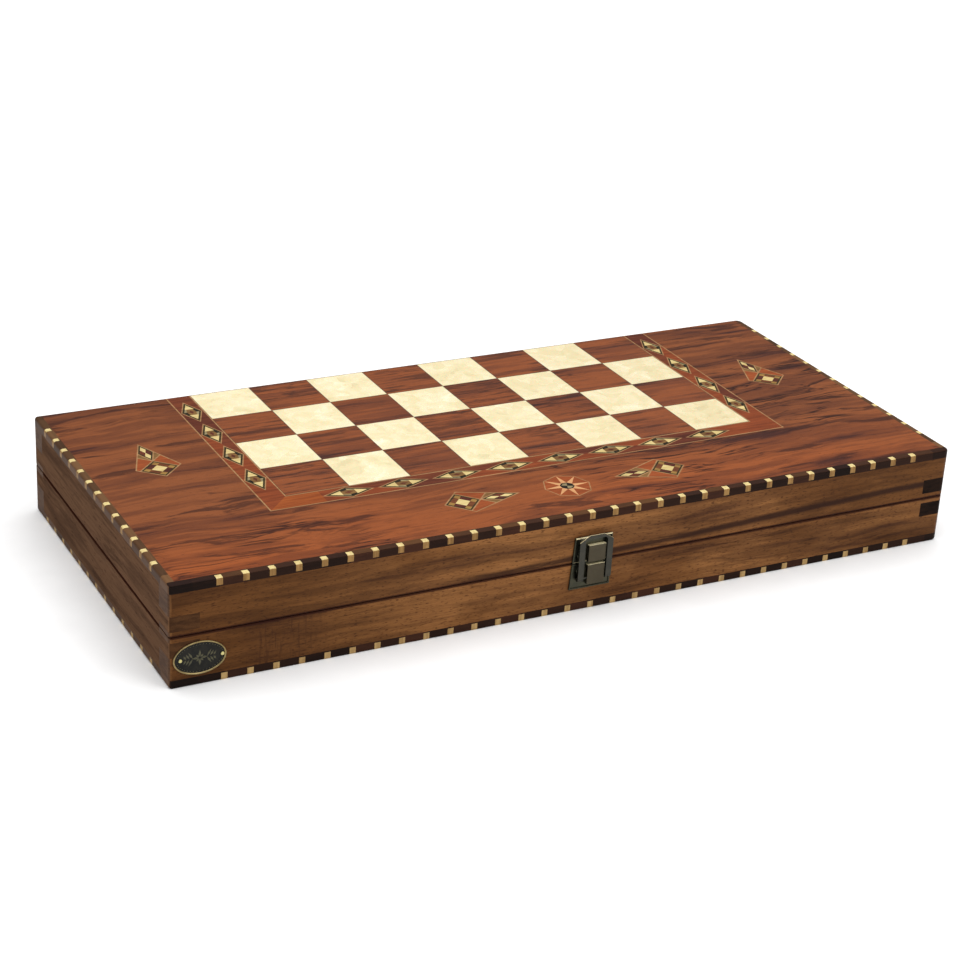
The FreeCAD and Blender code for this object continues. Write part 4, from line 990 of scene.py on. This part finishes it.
def lay_point_filling(inlay, outline, tone, at):
    """The point's wood, cut round a small lozenge near its base."""
    (start, low), (tip, _), _ = outline
    near, far, half_wide = start + 8 * MM, start + 26 * MM, 4.2 * MM
    middle = (near + far) / 2
    slope = -low / (tip - start)
    for v in (-1, 1):
        inlay.lay([(start, 0.0), (near, 0.0), (middle, v * half_wide), (far, 0.0), (tip, 0.0),
                   (middle, v * slope * (tip - middle)), (start, v * -low)], tone, at)
    lozenge = [(near, 0.0), (middle, -half_wide), (far, 0.0), (middle, half_wide)]
    lozenge = inlay.ring(lozenge, 0.6 * MM, "string", at)
    lozenge = inlay.ring(lozenge, 0.6 * MM, "ebony", at)
    inlay.lay(lozenge, "band_red" if tone == "point_light" else "cream", at)


for each in HALVES:
    lay_border(each)
    lay_motifs(each)
    lay_points(each)


# ---- latch

SHEET = 0.6 * MM
RIM_WIDE, RIM_TALL = 0.7 * MM, 0.55 * MM
TONGUE_WIDE, TONGUE_SHIFT = 11.0 * MM, 2.8 * MM
# the tongue's lip is a thin band of painted highlight along its top
PLATE_SLANT, TONGUE_LIP = 1.1 * MM, 0.15 * MM
FRAME_LEG, FRAME_BAR = 3.7 * MM, 2.2 * MM
FRAME_CHAMFER, FRAME_CHAMFER_TALL = 6.2 * MM, 3.8 * MM
KNUCKLE, KNUCKLE_BORE, KNUCKLE_SIDES = 1.4 * MM, 0.5 * MM, 20
FRAME_THICK, WINDOW_CORNER = 0.75 * MM, 1.2 * MM
LOWER_TONGUE_FOOT, UPPER_TONGUE_TOP = 17.0 * MM, 41.4 * MM
LOWER_TONGUE_STOP, UPPER_TONGUE_START = 0.9 * MM, 0.5 * MM


def upright(x, z, y):
    return Vector((x, y, z))


def flat_metal(shape, outline, back, front, slot=0, highlight_slot=None):
    """A plate parallel to the front wall, from its back to its front depth; faces looking up can
    take a painted highlight.
    """
    loop = [upright(x, z, back) for x, z in outline]
    faces = add_prism(shape, loop, Vector((0, front - back, 0)), slot)
    if highlight_slot is not None:
        bmesh.ops.recalc_face_normals(shape, faces=faces)
        for face in faces:
            face.normal_update()
            if face.normal.z > 0.5:
                face.material_index = highlight_slot
    return faces


def rectangle(left, right, low, high):
    return [(left, low), (right, low), (right, high), (left, high)]


def make_latch_plate(name, half, nails):
    """A pressed sheet with a turned-up rim and a tall tongue towards the seam."""
    low, high = node_box(name)
    middle = (low.x + high.x) / 2 + TONGUE_SHIFT
    wall = high.y
    proud = low.y
    tongue = TONGUE_WIDE / 2
    shape = bmesh.new()
    outline = rectangle(low.x, high.x, *PLATE_LEVELS[half])
    slants = (0, 1) if half == "lower" else (1, 2)
    for corner, steps in zip((0, 3), slants):
        x, z = outline[corner]
        outline[corner] = (x + steps * PLATE_SLANT, z)
    flat_metal(shape, outline, wall, wall - SHEET)
    inner = inset(outline, [RIM_WIDE] * 4)
    for i in range(4):
        after = (i + 1) % 4
        # on the upper plate, the top rim and every face looking up get the painted highlight
        flat_metal(shape, [outline[i], outline[after], inner[after], inner[i]], wall - SHEET,
                   wall - SHEET - RIM_TALL, 2 if half == "upper" and i == 2 else 0,
                   highlight_slot=2 if half == "upper" else None)
    foot, crown = TONGUE_LEVELS[half]
    lip = crown - TONGUE_LIP
    # the tongue's top lip gets the painted highlight
    for start, end, slot in ((foot, lip, 1), (lip, crown, 2)):
        flat_metal(shape, rectangle(middle - tongue, middle + tongue, start, end), wall - SHEET,
                   proud, slot)
    piece = add_piece(f"{half}_latch_plate", shape, [M["latch"], M["tongue"], M["painted_highlight"]],
                      f"{half}_case", "latch_metal", name)
    soften(piece, 0.22 * MM)
    heads = bmesh.new()
    nail_low, nail_high = node_box(nails)
    radius = (nail_high.z - nail_low.z) / 2
    for x in (nail_low.x + radius, nail_high.x - radius):
        centre = Vector((x, wall - SHEET, nail_low.z + radius))
        turned(heads, [(0.4 * radius, 0.0), (radius, 0.0), (0.92 * radius, 0.22 * MM),
                       (0.66 * radius, 0.4 * MM), (0.3 * radius, 0.5 * MM)], centre)
    add_piece(f"{half}_latch_nail_heads", heads, [M["latch"]], f"{half}_case", "latch_metal",
              nails)


def make_latch_frame():
    """The swinging frame: two legs on knuckles, joined by a bar with clipped corners."""
    low, high = node_box("latch_frame")
    front, back = low.y, low.y + FRAME_THICK
    pin_low, pin_high = node_box("latch_pin")
    pivot = (pin_low + pin_high) / 2
    left, right = low.x, high.x
    shoulder = high.z - FRAME_CHAMFER_TALL
    shape = bmesh.new()
    foot = pivot.z
    bar = high.z - FRAME_BAR
    soft = WINDOW_CORNER
    outline = [(left, foot), (left + FRAME_LEG, foot), (left + FRAME_LEG, bar - soft),
               (left + FRAME_LEG + soft, bar), (right - FRAME_LEG - soft, bar),
               (right - FRAME_LEG, bar - soft), (right - FRAME_LEG, foot), (right, foot),
               (right, shoulder), (right - FRAME_CHAMFER, high.z),
               (left + FRAME_CHAMFER, high.z), (left, shoulder)]
    # the frame's faces looking up get the painted highlight
    flat_metal(shape, outline, back, front, highlight_slot=1)
    for start in (left, right - FRAME_LEG):
        rings = [loop_of(shape, KNUCKLE_SIDES, lambda cosine, sine:
                         (x, pivot.y + radius * cosine, pivot.z + radius * sine))
                 for x, radius in ((start, KNUCKLE), (start + FRAME_LEG, KNUCKLE),
                                   (start + FRAME_LEG, KNUCKLE_BORE), (start, KNUCKLE_BORE))]
        for one, two in zip(rings, rings[1:] + rings[:1]):
            bridge(shape, one, two)
    piece = add_piece("latch_swing_frame", shape, [M["frame_metal"], M["painted_highlight"]], "latch_frame",
                      "latch_metal", "latch_frame")
    soften(piece, 0.2 * MM)


lower_plate_low, lower_plate_high = node_box("latch_base_plate")
upper_plate_low, upper_plate_high = node_box("latch_catch_plate")
PLATE_LEVELS = {"lower": (lower_plate_low.z, lower_plate_high.z),
                "upper": (upper_plate_low.z, upper_plate_high.z)}
TONGUE_LEVELS = {"lower": (LOWER_TONGUE_FOOT, lower_plate_high.z - LOWER_TONGUE_STOP),
                 "upper": (upper_plate_low.z + UPPER_TONGUE_START, UPPER_TONGUE_TOP)}
make_latch_plate("latch_base_plate", "lower", "lower_latch_nails")
make_latch_plate("latch_catch_plate", "upper", "upper_latch_nails")
make_latch_frame()


# ---- nameplate

# inset from the edge and height above the wall in mm, from the back edge to the field
PLAQUE_PROFILE = ((0.15, 0.0), (0.0, 0.2), (0.0, 0.55), (0.12, 0.74), (0.36, 0.8), (0.62, 0.76),
                  (0.82, 0.55), (0.9, 0.42))
PLAQUE_BEADS, BEADS_IN = 44, 1.8 * MM


def make_nameplate():
    """An oval plate: raised rim, and a rosette, leaf sprays and beads on a black field."""
    low, high = node_box("nameplate")
    centre = Vector(((low.x + high.x) / 2, high.y, (low.z + high.z) / 2))
    half_long, half_tall = (high.x - low.x) / 2, (high.z - low.z) / 2
    thick = high.y - low.y
    shape = bmesh.new()
    rings = [loop_of(shape, 96, lambda cosine, sine: centre + Vector((
        (half_long - step_in * MM) * cosine, -min(proud * MM, thick),
        (half_tall - step_in * MM) * sine))) for step_in, proud in PLAQUE_PROFILE]
    shape.faces.new(rings[0])
    field = shape.faces.new(rings[-1][::-1])
    field.material_index = 1
    for outer, inner in zip(rings, rings[1:]):
        for face in bridge(shape, outer, inner):
            face.smooth = True
    ground = centre + Vector((0, -PLAQUE_PROFILE[-1][1] * MM, 0))
    for i in range(PLAQUE_BEADS):
        angle = 2 * math.pi * i / PLAQUE_BEADS
        x = (half_long - BEADS_IN) * math.cos(angle)
        z = (half_tall - BEADS_IN) * math.sin(angle)
        if abs(z) > BEADS_IN:
            add_bead(shape, ground + Vector((x, 0, z)), 0.3 * MM)
    for i in range(8):
        angle = math.radians(45 * i)
        long = 2.8 * MM if i % 2 else 4.6 * MM
        add_leaf(shape, ground, angle, 0.5 * MM, long, 0.75 * MM)
    for way in (-1, 1):
        for i in range(3):
            stem = ground + Vector((way * (3.9 + 1.8 * i) * MM, 0, 0))
            for tilt in (-1, 1):
                angle = math.pi / 2 - way * (math.pi / 2 - tilt * math.radians(58))
                add_leaf(shape, stem, angle, 0.2 * MM, (4.8 - 0.9 * i) * MM, 0.62 * MM)
    add_piece("nameplate_oval", shape, [M["plaque_rim"], M["plaque_black"], M["plaque_relief"]],
              "lower_case", "nameplate_metal", "nameplate")

    pins = bmesh.new()
    pin_low, pin_high = node_box("nameplate_pins")
    radius = (pin_high.z - pin_low.z) / 2
    for x in (pin_low.x + radius, pin_high.x - radius):
        place = Vector((x, ground.y, centre.z))
        turned(pins, [(0.5 * radius, 0.0), (radius, 0.02 * MM), (0.96 * radius, 0.3 * MM),
                      (0.75 * radius, 0.55 * MM), (0.42 * radius, 0.68 * MM),
                      (0.1 * radius, 0.72 * MM)], place, 32)
    add_piece("nameplate_pin_heads", pins, [M["pin_brass"]], "lower_case", "brass_pins",
              "nameplate_pins")


def add_bead(shape, place, radius):
    turned(shape, [(radius, 0.0), (0.8 * radius, 0.6 * radius), (0.3 * radius, 0.9 * radius)],
           place, 10, slot=2)


def add_leaf(shape, stem, angle, start, end, half_wide):
    """A low ridged leaf on the nameplate's field, pointing away from its stem."""
    along = Vector((math.cos(angle), 0, math.sin(angle)))
    across = Vector((-math.sin(angle), 0, math.cos(angle)))
    middle = start + 0.45 * (end - start)
    corners = [shape.verts.new(stem + along * u + across * v) for u, v in
               ((start, 0.0), (middle, half_wide), (end, 0.0), (middle, -half_wide))]
    peak = shape.verts.new(stem + along * middle + Vector((0, -0.22 * MM, 0)))
    faces = [shape.faces.new(corners)]
    for i in range(4):
        faces.append(shape.faces.new((corners[i], corners[(i + 1) % 4], peak)))
    for face in faces:
        face.material_index = 2


make_nameplate()


# ---- camera, lights, floor

LENS, SENSOR = 83.96, 36.0
CAMERA_PLACE = (-0.59375, -1.08472, 0.59447)
CAMERA_ANGLES = (28.298, 24.564, 3.280)        # heading, dip and roll, in degrees
FLOOR_REACH = 4.0
WORLD_LIGHT = 0.22


def set_camera():
    camera_data = bpy.data.cameras.new("camera")
    camera = add_object("camera", camera_data)
    bpy.context.scene.camera = camera
    camera_data.lens = LENS
    camera_data.sensor_width = SENSOR
    camera.location = CAMERA_PLACE
    heading, dip, roll = (math.radians(angle) for angle in CAMERA_ANGLES)
    ahead = Vector((math.sin(heading) * math.cos(dip), math.cos(heading) * math.cos(dip),
                    -math.sin(dip)))
    across = Vector((math.cos(heading), -math.sin(heading), 0.0))
    across.rotate(Matrix.Rotation(-roll, 3, ahead).to_quaternion())
    upward = across.cross(ahead)
    camera.rotation_mode = "QUATERNION"
    camera.rotation_quaternion = Matrix((across, upward, -ahead)).transposed().to_quaternion()


def set_floor():
    shape = bmesh.new()
    corners = [shape.verts.new((x * FLOOR_REACH, y * FLOOR_REACH, 0.0))
               for x, y in ((-1, -1), (1, -1), (1, 1), (-1, 1))]
    shape.faces.new(corners)
    mesh = bpy.data.meshes.new("floor")
    shape.to_mesh(mesh)
    shape.free()
    floor = add_object("floor", mesh)
    g = Graph("floor_paper")
    speck, _ = g.noise(g.position, 40.0, 2.0)
    colour = g.ramp(speck, [(0.3, (0.90, 0.90, 0.90)), (0.7, (0.92, 0.92, 0.92))])
    mesh.materials.append(g.finish(colour, 0.9))


LIGHTS = (
    # name, place, aim, width, watts
    ("overhead", (0.0, 0.2, 2.6), (0.0, 0.2, 0.0), 5.0, 165.0),
    ("key", (1.3, -2.0, 1.5), (0.0, 0.0, 0.0), 1.4, 16.0),
)


def set_lights():
    world = bpy.data.worlds.new("studio")
    world.use_nodes = True
    background = world.node_tree.nodes["Background"]
    background.inputs["Color"].default_value = (1, 1, 1, 1)
    background.inputs["Strength"].default_value = WORLD_LIGHT
    bpy.context.scene.world = world
    for name, place, aim, wide, power in LIGHTS:
        data = bpy.data.lights.new(name, "AREA")
        data.shape = "SQUARE"
        data.size = wide
        data.energy = power
        light = add_object(name, data)
        light.location = place
        toward = Vector(aim) - Vector(place)
        light.rotation_mode = "QUATERNION"
        light.rotation_quaternion = toward.to_track_quat("-Z", "Y")
    bpy.context.scene.view_settings.view_transform = "Standard"


set_camera()
set_floor()
set_lights()
